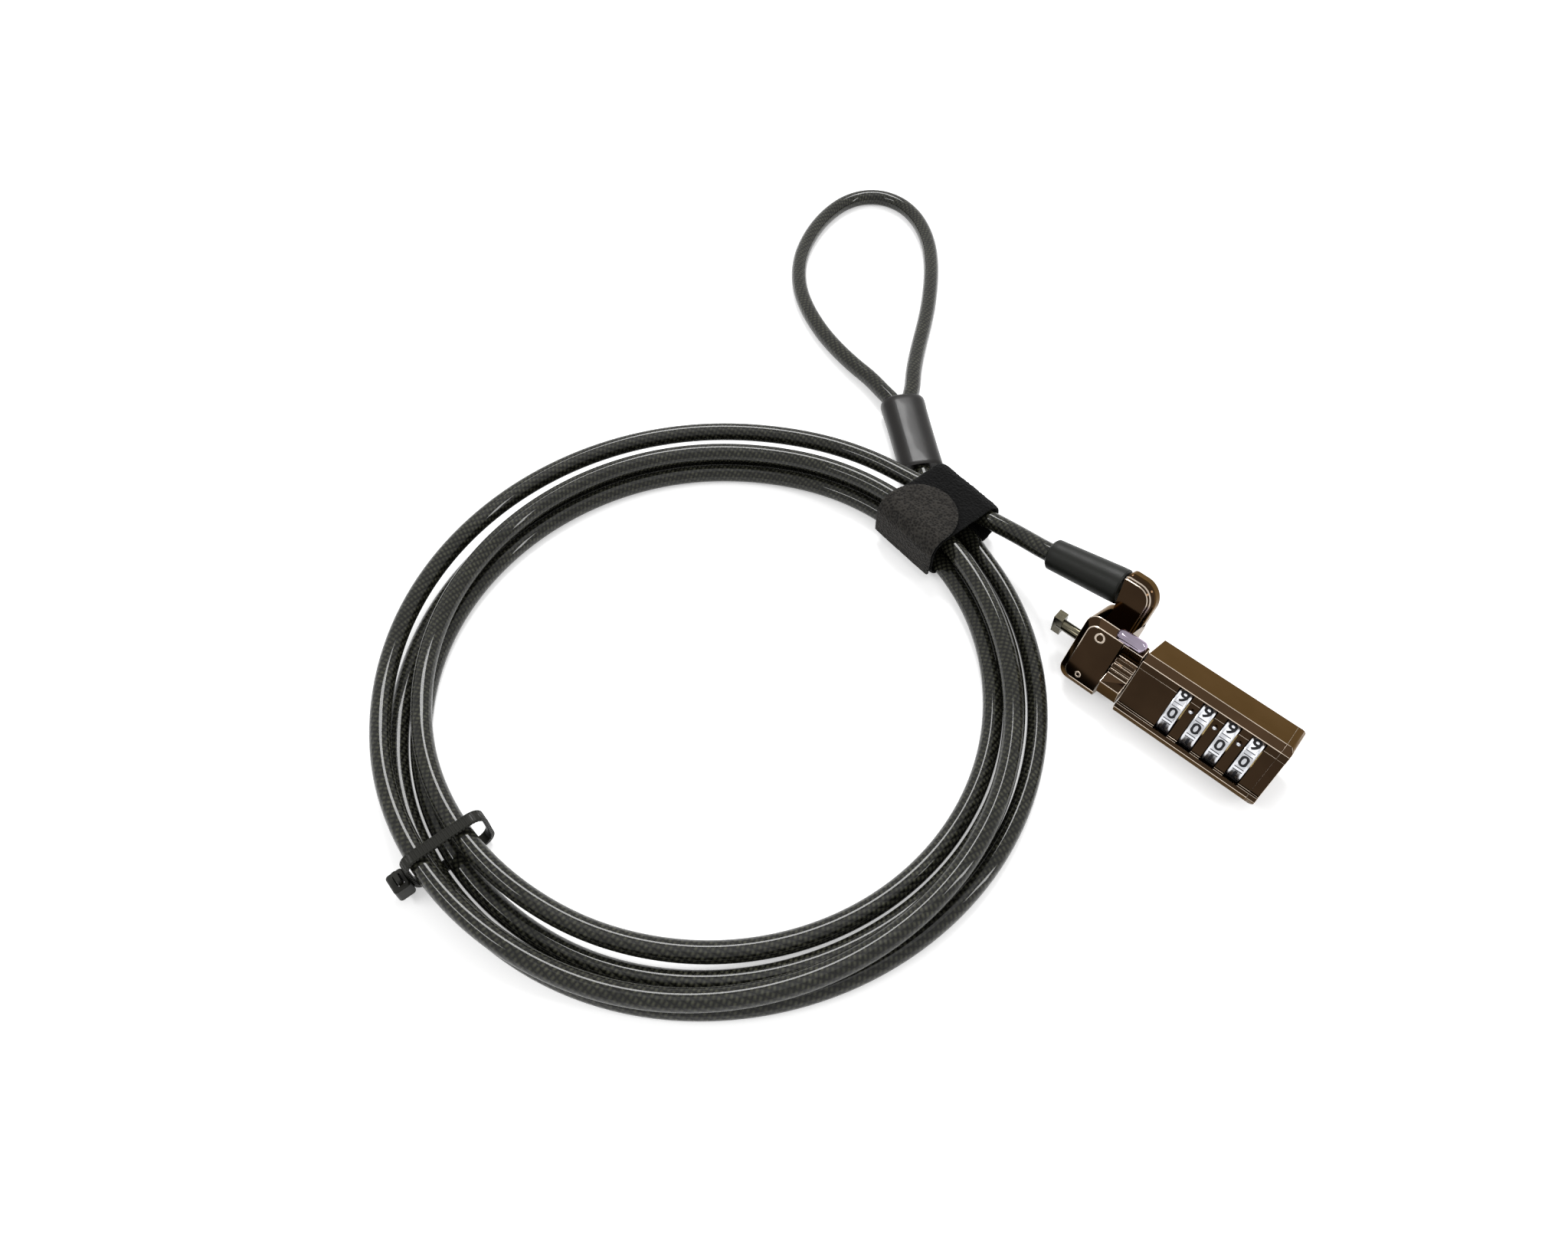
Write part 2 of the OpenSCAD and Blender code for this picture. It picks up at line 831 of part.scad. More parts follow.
// ---- hook-and-loop strap ----
// frame on the coil at an azimuth: +X outwards, +Y along the wind, +Z up
module at_az(az) {
    translate([coil_x, coil_y, 0])
        rotate([0, 0, az])
            children();
}

wrap_thick = wrap_lift - 0.1;
strap_in = 65.2;
strap_out = 88.6;
strap_high = 13.2;
strap_round = 3.8;
hook_thick = 1.1;
hook_gap = 0.05;
hook_reach = 3.5;
hook_foot = 4;

module rounded_box_2d(x0, x1, z0, z1, r) {
    union() {
        translate([x0 + r, z0]) square([x1 - x0 - 2 * r, z1 - z0]);
        translate([x0, z0 + r]) square([x1 - x0, z1 - z0 - 2 * r]);
        for (x = [x0 + r, x1 - r], z = [z0 + r, z1 - r])
            translate([x, z]) circle(r);
    }
}

// a band around the bundle, its outline drawn in the radial and vertical directions
module band(width, x0, x1, z1, thick, r) {
    rotate([90, 0, 0])
        linear_extrude(width, center = true)
            difference() {
                rounded_box_2d(x0 - thick, x1 + thick, 0, z1 + thick, r);
                rounded_box_2d(x0, x1, thick, z1, r - thick + 0.1);
            }
}

module strap_band() {
    color(black)
        at_az(strap_az)
            band(strap_width, strap_in, strap_out, strap_high, wrap_thick, strap_round);
}

// the woven hook end lies over the inner side and the top, up to its round tip
module strap_hook_end() {
    color([0.1, 0.1, 0.1])
    at_az(strap_az)
    intersection() {
        rotate([90, 0, 0])
            linear_extrude(strap_width, center = true)
                difference() {
                    rounded_box_2d(hook_x - hook_thick, strap_out, hook_foot - 2 * strap_round,
                        hook_z + hook_thick, strap_round + hook_gap + hook_thick);
                    rounded_box_2d(hook_x, strap_out + 2 * strap_round, -strap_round,
                        hook_z, strap_round + hook_gap);
                }
        translate([hook_x - 2 * hook_thick, 0, hook_foot])
            linear_extrude(2 * strap_high)
                union() {
                    translate([0, -strap_width])
                        square([hook_reach + 2 * hook_thick, 2 * strap_width]);
                    translate([hook_reach + 2 * hook_thick, 0])
                        circle(strap_width / 2);
                }
    }
}

hook_x = strap_in - wrap_thick - hook_gap;
hook_z = strap_high + wrap_thick + hook_gap;

// ---- cable tie ----
tie_in = 65;
tie_out = 83.1;
tie_high = 12;
tie_round = 2.5;
tie_head_size = 5;
tie_head_out = 4;
tie_head_z = 2.6;
tie_slot_in = 1;
tie_slot = 1.6;
tie_tail_thick = 1.3;
tie_tail_z = 0.6;
tie_tail_length = 9;

module tie_band() {
    color(black)
        at_az(tie_az)
            band(tie_width, tie_in, tie_out, tie_high, wrap_thick, tie_round);
}

module tie_head() {
    color(black)
    at_az(tie_az)
    difference() {
        translate([tie_out + wrap_thick, -tie_head_size / 2, tie_head_z])
            cube([tie_head_out, tie_head_size, tie_head_size]);
        translate([tie_out + wrap_thick + tie_slot_in, -tie_width / 2 - 0.1, tie_head_z - 1])
            cube([tie_slot, tie_width + 0.2, tie_head_size + 2]);
    }
}

module tie_tail() {
    color(black)
    at_az(tie_az)
    translate([tie_out + wrap_thick + tie_slot_in + (tie_slot - tie_tail_thick) / 2,
        -tie_width / 2, tie_tail_z])
        cube([tie_tail_thick, tie_width, tie_tail_length]);
}

head_block();
head_neck();
housing_shell();
housing_end_cap();
end_cap_screw();
code_reset_screw();
detent_spring();
lever_ring();
lever_tab();
lever_pin();
t_bar_spindle();
spindle_clip();
dial_1();
dial_2();
dial_3();
dial_4();
dial_clutch_1();
dial_clutch_2();
dial_clutch_3();
dial_clutch_4();
cable_lug();
lug_rivet();
cable_end_fitting();
cable_sleeve();
cable_tail();
cable_coil();
cable_lead();
cable_eye();
eye_ferrule();
ferrule_cover();
strap_band();
strap_hook_end();
tie_band();
tie_head();
tie_tail();
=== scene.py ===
"""Dresses a laptop's combination cable lock: lock body with number dials, lever, lug,
sleeve, and a coiled sheathed steel cable with its eye, strap and tie."""

from math import cos, exp, pi, radians, sin

import bmesh
import bpy
from mathutils import Matrix, Vector, noise


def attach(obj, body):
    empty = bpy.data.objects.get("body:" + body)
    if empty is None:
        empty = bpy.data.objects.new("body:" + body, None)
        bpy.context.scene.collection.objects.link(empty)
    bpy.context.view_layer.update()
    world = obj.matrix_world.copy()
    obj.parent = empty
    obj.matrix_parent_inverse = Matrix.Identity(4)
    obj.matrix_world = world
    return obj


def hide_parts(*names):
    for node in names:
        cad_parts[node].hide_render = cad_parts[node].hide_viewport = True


bl_info = {
    "name": "Laptop cable lock",
    "version": (1, 0, 0),
    "blender": (4, 5, 0),
    "location": "View3D > Sidebar > Cable lock",
    "description": "Models the looks of a combination cable lock round its packed frame",
    "category": "Add Mesh",
}

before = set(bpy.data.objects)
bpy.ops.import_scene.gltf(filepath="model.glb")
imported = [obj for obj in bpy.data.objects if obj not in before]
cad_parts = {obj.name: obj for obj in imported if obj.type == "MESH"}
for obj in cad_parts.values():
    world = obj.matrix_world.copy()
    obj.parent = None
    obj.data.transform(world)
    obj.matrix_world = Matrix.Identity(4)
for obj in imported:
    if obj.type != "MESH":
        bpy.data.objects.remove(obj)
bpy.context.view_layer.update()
MM = 0.001

# Lengths below are in millimetres and azimuths in degrees, unless a name says otherwise.
# The lock's own frame: backward lean of the dial face, height and place in Y of the spindle.
ROLL = radians(30)
AXIS_Z = 9.3
SHIFT_Y = -3.761
# Along the spindle: both faces of the nose block, the housing's front, the end cap's face.
X_NOSE, X_HEAD, X_BODY, X_END = -23.35, -12.75, -6.85, 30.95
# From the spindle to the dial face, to the back and to the sides.
FRONT, BACK, HALF = 6.6, 9.4, 9.25
DIAL_PITCH = 6.2
DIAL_X = [5.25 + DIAL_PITCH * i for i in range(4)]
PANEL_R = 7.5  # a number's panel lies this far from the spindle
CHANNEL_FLOOR, BUMP_Z = 5.68, 2.3  # floor of the housing's channel, height of its marks


def length_property(name, description, default, lowest, highest):
    return bpy.props.FloatProperty(
        name=name,
        description=description,
        default=default,
        min=lowest,
        max=highest,
        subtype="DISTANCE",
        unit="LENGTH",
    )


def colour_property(name, description, default):
    return bpy.props.FloatVectorProperty(
        name=name,
        description=description,
        subtype="COLOR",
        size=3,
        default=default,
        min=0.0,
        max=1.0,
    )


class LockSizes(bpy.types.PropertyGroup):
    """Sizes that only the looks have, in metres."""

    edge_round: length_property(
        "Edge rounding", "Rounding of the metal pieces' edges", 0.00028, 0.0, 0.001
    )
    digit_height: length_property(
        "Digit height", "Height of a number on a dial", 0.0026, 0.001, 0.004
    )
    lay_length: length_property(
        "Lay length", "Length in which a strand of the rope goes round once", 0.030, 0.01, 0.08
    )


class LockColours(bpy.types.PropertyGroup):
    """Colours of the finishes."""

    gunmetal: colour_property(
        "Gunmetal plating", "Dark mirror plating of the lock body", (0.052, 0.031, 0.017)
    )
    silver: colour_property("Dial silver", "Satin plating of the dials", (0.62, 0.63, 0.66))
    rope_dark: colour_property(
        "Rope, dark", "Gaps between the wires under the sheath", (0.003, 0.003, 0.0024)
    )
    rope_light: colour_property(
        "Rope, light", "Wires under the smoky sheath", (0.060, 0.060, 0.040)
    )
    rubber: colour_property(
        "Sleeve black", "Satin black of the cable's sleeve", (0.004, 0.0044, 0.0032)
    )


def sizes():
    return bpy.context.scene.lock_sizes


def colours():
    return bpy.context.scene.lock_colours


# ---- places ----


def frame_at(origin, angle, axis):
    """A frame in mm with its origin, turned about one of its axes."""
    return Matrix.Scale(MM, 4) @ Matrix.Translation(origin) @ Matrix.Rotation(angle, 4, axis)


def rolled():
    """The lock's own frame: X along the spindle, Y to the back, Z up the dial face, in mm."""
    return frame_at((0, SHIFT_Y, AXIS_Z), -ROLL, "X")


def on_dial_face(x, away, z, spin=0):
    """The place of a thing that looks away from the spindle, its own Z outwards."""
    turned = rolled() @ Matrix.Rotation(spin, 4, "X")
    return turned @ Matrix.Translation((x, -away, z)) @ Matrix.Rotation(radians(90), 4, "X")


def millimetres(points):
    return [Vector(p) * MM for p in points]


def ease(x):
    """Nought up to 0, one from 1 on, and a smooth rise between."""
    return 0.0 if x <= 0 else 1.0 if x >= 1 else x * x * (3 - 2 * x)


CABLE_D = 5.0
COIL_X, COIL_Y = -85.1, -72.0
START_AZ = 68.0
COIL_SWEEP = 1412.0
COIL_POINTS = 880
COIL_OUTER = 80.3
COIL_STEP = 5.45
# Degrees along the wind where a turn steps inwards, over how many, and by how many steps.
COIL_STEPS = [(120, 150, 1), (480, 150, 1), (840, 150, -0.5), (1080, 130, -1.5)]
COIL_LIFT = 5.5
CLIMB_FROM, CLIMB_OVER = 780, 110
# Strap and tie pass under the coil, and each lifts it over so many degrees to either side.
STRAP_AZ, STRAP_REACH = 82.0, 34
TIE_AZ, TIE_REACH = 262.0, 24
WRAP_LIFT = 1.2


def wrap180(a):
    return a - 360 * round(a / 360)


def lift(az):
    """How far the wraps under the coil lift it at an azimuth."""
    near_strap = exp(-((wrap180(az - STRAP_AZ) / STRAP_REACH) ** 4))
    near_tie = exp(-((wrap180(az - TIE_AZ) / TIE_REACH) ** 4))
    return WRAP_LIFT * (near_strap + near_tie)


def coil_at(t):
    """A point of the coil, t degrees along its wind, in millimetres."""
    inwards = sum(by * ease((t - start) / over) for start, over, by in COIL_STEPS)
    r = COIL_OUTER - COIL_STEP * inwards
    z = CABLE_D / 2 + lift(START_AZ - t) + COIL_LIFT * ease((t - CLIMB_FROM) / CLIMB_OVER)
    a = radians(START_AZ - t)
    return Vector((COIL_X + r * cos(a), COIL_Y + r * sin(a), z))


def smooth_through(points, step=1.6):
    """A round curve through the points, with a point every step millimetres."""
    p = [Vector(q) for q in points]
    p = [2 * p[0] - p[1]] + p + [2 * p[-1] - p[-2]]
    out = []
    for a, b, c, d in zip(p, p[1:], p[2:], p[3:]):
        n = max(1, round((c - b).length / step))
        for i in range(n):
            t = i / n
            curve = (2 * a - 5 * b + 4 * c - d) * t * t + (3 * b - a - 3 * c + d) * t**3
            out.append(0.5 * (2 * b + (c - a) * t + curve))
    out.append(p[-2])
    return out


# The wind's direction at the coil's two ends.
COIL_IN = (coil_at(0.5) - coil_at(0)).normalized()
COIL_OUT = (coil_at(COIL_SWEEP) - coil_at(COIL_SWEEP - 0.5)).normalized()
# The ferrule's cover: its end at the eye, its direction, half the gap between the eye's legs.
FERRULE_FROM = Vector((-111.5, 34.6, 4.0))
FERRULE_DIR = radians(-39)
FERRULE_LENGTH = 28.0
FERRULE_HALF = 2.65
MOUTH = 2.0  # how far the cable's ends reach into the cover
# The sleeve, from the lug down to where the cable comes out.
SLEEVE_FROM = Vector((-21.356, 8.55, 19.224))
SLEEVE_SLOPE = radians(11)
SLEEVE_LENGTH = 21.0
CABLE_IN_SLEEVE = 3.9
SLEEVE_DIR = Vector((-cos(SLEEVE_SLOPE), 0, -sin(SLEEVE_SLOPE)))


def ferrule_at(along, side):
    """A point in the ferrule's cover, along it from the eye's end and to its side."""
    c, s = cos(FERRULE_DIR), sin(FERRULE_DIR)
    return FERRULE_FROM + Vector((along * c - side * s, along * s + side * c, 0))


# The photo's cable on the solved camera: sleeve's side of the coil, ferrule's side, the eye.
TAIL = [(-76, 9.8, 9.4), (-68, 10.4, 9.8), (-60, 10.5, 10.8), (-52.5, 9.9, 12.4)]
LEAD = [(-83.4, 12.3, 3.8), (-76.8, 9, 3.7), (-70, 7.4, 3.7)]
EYE = [
    (-119, 34.7, 3.8), (-126, 36.8, 3.4), (-134, 38.4, 3), (-142, 40.4, 2.7),
    (-150, 43, 2.5), (-157.5, 46.2, 2.5), (-164.5, 50, 2.5), (-171, 54.6, 2.5),
    (-177, 60.4, 2.5), (-182.2, 67.2, 2.5), (-186.4, 75, 2.5), (-189.6, 83.6, 2.5),
    (-191.4, 92.4, 2.5), (-191.4, 100.6, 2.5), (-188.8, 107.6, 2.5), (-183.4, 112.2, 2.5),
    (-176, 113.4, 2.5), (-168.2, 111.4, 2.5), (-160.8, 107.2, 2.5), (-154, 101.6, 2.5),
    (-148, 95.2, 2.5), (-142.8, 88.6, 2.5), (-138, 81.8, 2.5), (-133.6, 75, 2.5),
    (-129.6, 68.2, 2.6), (-125.8, 61.4, 2.8), (-122, 54.8, 3.1), (-118, 48.4, 3.5),
    (-113.8, 42.4, 3.8),
]


def main_route():
    """From the sleeve along the tail, back through the coil and along the lead."""
    start = SLEEVE_FROM + (SLEEVE_LENGTH - CABLE_IN_SLEEVE) * SLEEVE_DIR
    mouth = SLEEVE_FROM + (SLEEVE_LENGTH + 2) * SLEEVE_DIR
    tail_end = coil_at(COIL_SWEEP) + CABLE_D * COIL_OUT
    tail = smooth_through([start, mouth, *reversed(TAIL), tail_end + 4 * COIL_OUT, tail_end])
    turns = [coil_at(COIL_SWEEP * (1 - i / COIL_POINTS)) for i in range(COIL_POINTS + 1)]
    lead_end = coil_at(0) - CABLE_D * COIL_IN
    lead = smooth_through(
        [
            lead_end,
            lead_end - 4 * COIL_IN,
            *reversed(LEAD),
            ferrule_at(FERRULE_LENGTH + 1, 0),
            ferrule_at(FERRULE_LENGTH - MOUTH, 0),
        ]
    )
    return millimetres([*tail, *turns, *lead])


def eye_route():
    """The eye, from one leg in the ferrule round to the other."""
    ends = [ferrule_at(MOUTH, -FERRULE_HALF), ferrule_at(-1, -FERRULE_HALF)]
    back = [ferrule_at(-1, FERRULE_HALF), ferrule_at(MOUTH, FERRULE_HALF)]
    return millimetres(smooth_through([*ends, *EYE, *back]))


# ---- lines and outlines ----


def distances(points):
    """How far along their line each of the points lies."""
    far = [0.0]
    for a, b in zip(points, points[1:]):
        far.append(far[-1] + (b - a).length)
    return far


def heading(points, i):
    """The direction of an open line at its point i."""
    return (points[min(i + 1, len(points) - 1)] - points[max(i - 1, 0)]).normalized()


def heading_round(points, i):
    """The direction of a closed line at its point i."""
    return (points[(i + 1) % len(points)] - points[i - 1]).normalized()


def arc(x, z, r, start, sweep, steps):
    """Points on a circle, from a start in degrees over a sweep."""
    turn = [radians(start + sweep * i / steps) for i in range(steps + 1)]
    return [(x + r * cos(a), z + r * sin(a)) for a in turn]


def circle(r, count):
    return arc(0, 0, r, 0, 360, count)[:-1]


def rounded_outline(x0, x1, z0, z1, r, steps):
    """Points round a box with round corners, starting in the middle of its foot."""
    return [
        ((x0 + x1) / 2, z0),
        *arc(x1 - r, z0 + r, r, -90, 90, steps),
        *arc(x1 - r, z1 - r, r, 0, 90, steps),
        *arc(x0 + r, z1 - r, r, 90, 90, steps),
        *arc(x0 + r, z0 + r, r, 180, 90, steps),
    ]


def even_loop(points, count):
    """The same closed outline as count points an equal way apart."""
    p = [Vector((x, 0, z)) for x, z in points]
    p.append(p[0])
    far = distances(p)
    out, j = [], 0
    for i in range(count):
        d = far[-1] * i / count
        while far[j + 1] < d:
            j += 1
        out.append(p[j].lerp(p[j + 1], (d - far[j]) / max(1e-9, far[j + 1] - far[j])))
    return out


def at_azimuth(az):
    """Millimetres on the coil at an azimuth: X outwards, Y along the wind's circle, Z up."""
    return frame_at((COIL_X, COIL_Y, 0), radians(az), "Z")


# ---- mesh helpers ----


def linked(name, data):
    """A new object in the scene."""
    obj = bpy.data.objects.new(name, data)
    bpy.context.scene.collection.objects.link(obj)
    return obj


def finished(name, bm, finish, body, smooth=True, angle=40):
    """Writes a bmesh to a new object at the origin that rides on a body."""
    bmesh.ops.recalc_face_normals(bm, faces=bm.faces)
    mesh = bpy.data.meshes.new(name)
    bm.to_mesh(mesh)
    bm.free()
    obj = linked(name, mesh)
    mesh.materials.append(MATERIALS[finish])
    if smooth:
        mesh.polygons.foreach_set("use_smooth", [True] * len(mesh.polygons))
        mesh.set_sharp_from_angle(angle=radians(angle))
    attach(obj, body)
    return obj


def grid_step(along, steps):
    """Which of a grid's rows, from nought on, lies at a place between -1 and 1."""
    return round((along + 1) / 2 * steps)


def swept(name, route, sides=20):
    """The cable along a route, made from a grid that is rolled up, its length in its UVs."""
    radius = CABLE_D / 2 * MM
    last = len(route) - 1
    far = distances(route)
    bm = bmesh.new()
    uv = bm.loops.layers.uv.new("along")
    bmesh.ops.create_grid(bm, x_segments=last, y_segments=sides, size=1)
    rings = []
    for i, p in enumerate(route):
        t = heading(route, i)
        side = t.cross(Vector((0, 0, 1))).normalized()
        rings.append((p, side, side.cross(t)))
    for face in bm.faces:
        for loop in face.loops:
            i = grid_step(loop.vert.co.x, last)
            loop[uv].uv = (far[i], (loop.vert.co.y + 1) / 2)
    for v in bm.verts:
        i = grid_step(v.co.x, last)
        a = pi * (v.co.y + 1)
        p, side, up = rings[i]
        v.co = p + radius * (cos(a) * side + sin(a) * up)
    bmesh.ops.remove_doubles(bm, verts=bm.verts, dist=radius * 0.01)
    cap_off(bm)
    return finished(name, bm, "sheathed rope", "cable")


def lofted(loops, place, bands=()):
    """A skin over closed loops of points, capped at both ends, with a second finish on bands."""
    last, count = len(loops) - 1, len(loops[0])
    bm = bmesh.new()
    bmesh.ops.create_grid(bm, x_segments=last, y_segments=count, size=1)
    for face in bm.faces:
        at = int((face.calc_center_median().x + 1) / 2 * last)
        face.material_index = 1 if at in bands else 0
    for v in bm.verts:
        i, j = grid_step(v.co.x, last), grid_step(v.co.y, count) % count
        v.co = place @ Vector(loops[i][j])
    bmesh.ops.remove_doubles(bm, verts=bm.verts, dist=0.0000002)
    cap_off(bm)
    return bm


def cap_off(bm):
    """Closes every open end with a face in the piece's first finish."""
    open_ends = [e for e in bm.edges if e.is_boundary]
    for face in bmesh.ops.holes_fill(bm, edges=open_ends, sides=0)["faces"]:
        face.material_index = 0


def cut_at(bm, point, normal, **side):
    """Cuts one side of a plane away, and closes the cut."""
    bmesh.ops.bisect_plane(
        bm,
        geom=bm.verts[:] + bm.edges[:] + bm.faces[:],
        plane_co=point,
        plane_no=normal,
        **side,
    )
    cap_off(bm)


def add_piece(bm, piece):
    """Moves all of one bmesh into another."""
    mesh = bpy.data.meshes.new("piece")
    piece.to_mesh(mesh)
    piece.free()
    bm.from_mesh(mesh)
    bpy.data.meshes.remove(mesh)


def plated(name, bm, angle):
    """A piece of the lock body: plated, with a painted highlight of bright plating as its second
    finish, and normals of its own on flat faces.
    """
    obj = finished(name, bm, "gunmetal plating", "lock", angle=angle)
    # the second finish: bright plating that paints a highlight on the edges
    obj.data.materials.append(MATERIALS["painted highlight plating"])
    normals = obj.modifiers.new("flat faces", "WEIGHTED_NORMAL")
    normals.keep_sharp = True
    return obj


# ---- shader node groups ----


def group(name, inputs, outputs):
    """A node group with value sockets only: its tree, its given values and what it puts out."""
    tree = bpy.data.node_groups.new(name, "ShaderNodeTree")
    new_socket = tree.interface.new_socket
    for label, value in inputs.items():
        socket = new_socket(label, in_out="INPUT", socket_type="NodeSocketFloat")
        socket.default_value = value
    for label in outputs:
        new_socket(label, in_out="OUTPUT", socket_type="NodeSocketFloat")
    return tree, tree.nodes.new("NodeGroupInput"), tree.nodes.new("NodeGroupOutput")


def feed(tree, inputs, values):
    """Sets or links sockets: each value is a constant, a colour or another node's output."""
    for key, value in values.items():
        if isinstance(value, bpy.types.NodeSocket):
            tree.links.new(value, inputs[key])
        elif isinstance(value, tuple) and inputs[key].type == "RGBA":
            inputs[key].default_value = (*value, 1.0)
        else:
            inputs[key].default_value = value


def math_node(tree, operation, *values):
    node = tree.nodes.new("ShaderNodeMath")
    node.operation = operation
    feed(tree, node.inputs, dict(enumerate(values)))
    return node.outputs[0]


def noise_node(tree, vector, scale, detail=4.0, roughness=0.55):
    """The value of a noise texture on a vector."""
    node = tree.nodes.new("ShaderNodeTexNoise")
    feed(tree, node.inputs, {"Vector": vector, "Scale": scale})
    feed(tree, node.inputs, {"Detail": detail, "Roughness": roughness})
    return node.outputs["Fac"]


def object_coords(tree):
    return tree.nodes.new("ShaderNodeTexCoord").outputs["Object"]


def mixed(tree, factor, a, b):
    """A colour between two others, by a factor."""
    node = tree.nodes.new("ShaderNodeMix")
    node.data_type = "RGBA"
    feed(tree, node.inputs, {0: factor, 6: a, 7: b})
    return node.outputs[2]


def make_handling_group():
    """Faint smears and fine scratches, as on plated metal that has been handled."""
    scales = {"Smear Scale": 90.0, "Scratch Scale": 900.0}
    tree, given, put = group("handling marks", scales, ["Smear", "Scratch"])
    coords = object_coords(tree)
    smear = noise_node(tree, coords, given.outputs["Smear Scale"])
    stretch = tree.nodes.new("ShaderNodeMapping")
    feed(tree, stretch.inputs, {"Vector": coords, "Scale": (0.06, 1.0, 1.0)})
    along = stretch.outputs["Vector"]
    scratch = noise_node(tree, along, given.outputs["Scratch Scale"], 2.0, 0.7)
    feed(tree, put.inputs, {"Smear": smear, "Scratch": scratch})
    return tree


def make_rope_group():
    """The lay of a twisted steel rope under a clear sheath, from the tube's own UVs."""
    twists = {"Strands": 6.0, "Turns per metre": 33.0}
    tree, given, put = group("rope lay", twists, ["Strand", "Wire", "Cloud"])
    uv = tree.nodes.new("ShaderNodeUVMap")
    uv.uv_map = "along"
    split = tree.nodes.new("ShaderNodeSeparateXYZ")
    tree.links.new(uv.outputs["UV"], split.inputs["Vector"])
    along, around = split.outputs["X"], split.outputs["Y"]
    turn = math_node(tree, "MULTIPLY", along, given.outputs["Turns per metre"])
    twist = math_node(tree, "ADD", turn, around)
    phase = math_node(tree, "MULTIPLY", twist, given.outputs["Strands"])
    wave = math_node(tree, "SINE", math_node(tree, "MULTIPLY", phase, pi))
    strand = math_node(tree, "ABSOLUTE", wave)
    # the wires in a strand go round the other way, six waves of them to a turn
    back = math_node(tree, "SUBTRACT", math_node(tree, "MULTIPLY", turn, 4.0), around)
    wires = math_node(tree, "MULTIPLY", math_node(tree, "MULTIPLY", back, 6.0), 2 * pi)
    wire = math_node(tree, "MULTIPLY_ADD", math_node(tree, "SINE", wires), 0.5, 0.5)
    cloud = noise_node(tree, object_coords(tree), 260.0, 5.0)
    feed(tree, put.inputs, {"Strand": strand, "Wire": wire, "Cloud": cloud})
    return tree


def make_pile_group():
    """Fine uneven pile or weave for woven tape."""
    tree, given, put = group("tape pile", {"Scale": 1400.0}, ["Height", "Cloud"])
    coords = object_coords(tree)
    cells = tree.nodes.new("ShaderNodeTexVoronoi")
    feed(tree, cells.inputs, {"Vector": coords, "Scale": given.outputs["Scale"]})
    cloud = noise_node(tree, coords, 300.0)
    feed(tree, put.inputs, {"Height": cells.outputs["Distance"], "Cloud": cloud})
    return tree


GROUPS = {}


def use_group(tree, name, values=()):
    """The outputs of a shared node group that is given values of its own."""
    node = tree.nodes.new("ShaderNodeGroup")
    node.node_tree = GROUPS[name]
    feed(tree, node.inputs, dict(values))
    return node.outputs


# ---- materials ----

MATERIALS = {}


def new_material(name):
    mat = bpy.data.materials.new(name)
    mat.use_nodes = True
    tree = mat.node_tree
    return mat, tree, tree.nodes["Principled BSDF"]


def bump(tree, height, strength, distance):
    node = tree.nodes.new("ShaderNodeBump")
    feed(tree, node.inputs, {"Height": height, "Strength": strength, "Distance": distance})
    return node.outputs["Normal"]


def spread(tree, mask, low, high):
    """The middle of a mask's range, spread from low to high."""
    node = tree.nodes.new("ShaderNodeMapRange")
    values = {"Value": mask, "From Min": 0.3, "From Max": 0.7, "To Min": low, "To Max": high}
    feed(tree, node.inputs, values)
    return node.outputs["Result"]


def scaled(colour, by):
    return tuple(c * by for c in colour)


def metal(name, colour, rough, marks=0.1, darker=0.85, scratch=0.1, tint=(1, 1, 1)):
    """Plated or bare metal: marks adds roughness in its smears, darker is their colour."""
    mat, tree, shader = new_material(name)
    wear = use_group(tree, "handling")
    finish = {
        "Base Color": mixed(tree, wear["Smear"], scaled(colour, darker), colour),
        "Metallic": 1.0,
        "Specular Tint": tint,
        "Roughness": spread(tree, wear["Smear"], rough, rough + marks),
        "Normal": bump(tree, wear["Scratch"], scratch, 0.00003),
    }
    feed(tree, shader.inputs, finish)
    MATERIALS[name] = mat


def plastic(name, colour, rough, coat=0.0, grain=0.15, distance=0.00004):
    """Rubber or plastic with a fine grain, lighter in its smears."""
    mat, tree, shader = new_material(name)
    wear = use_group(tree, "handling", {"Smear Scale": 240.0, "Scratch Scale": 2400.0})
    finish = {
        "Base Color": mixed(tree, wear["Smear"], colour, scaled(colour, 1.6)),
        "Roughness": spread(tree, wear["Smear"], rough, rough + 0.08),
        "Specular IOR Level": 0.2,
        "Coat Weight": coat,
        "Coat Roughness": 0.08,
        "Normal": bump(tree, wear["Scratch"], grain, distance),
    }
    feed(tree, shader.inputs, finish)
    MATERIALS[name] = mat


def tape(name, colour, sheen):
    """Woven or fuzzy tape, dark between its threads."""
    mat, tree, shader = new_material(name)
    pile = use_group(tree, "pile", {"Scale": 1500.0})
    depth = spread(tree, pile["Height"], 0.15, 1.0)
    depth = math_node(tree, "MULTIPLY", depth, math_node(tree, "ADD", pile["Cloud"], 0.4))
    finish = {
        "Base Color": mixed(tree, depth, scaled(colour, 0.15), colour),
        "Roughness": 0.95,
        "Specular IOR Level": 0.15,
        "Sheen Weight": sheen,
        "Sheen Roughness": 0.5,
        "Normal": bump(tree, pile["Height"], 1.0, 0.0003),
    }
    feed(tree, shader.inputs, finish)
    MATERIALS[name] = mat


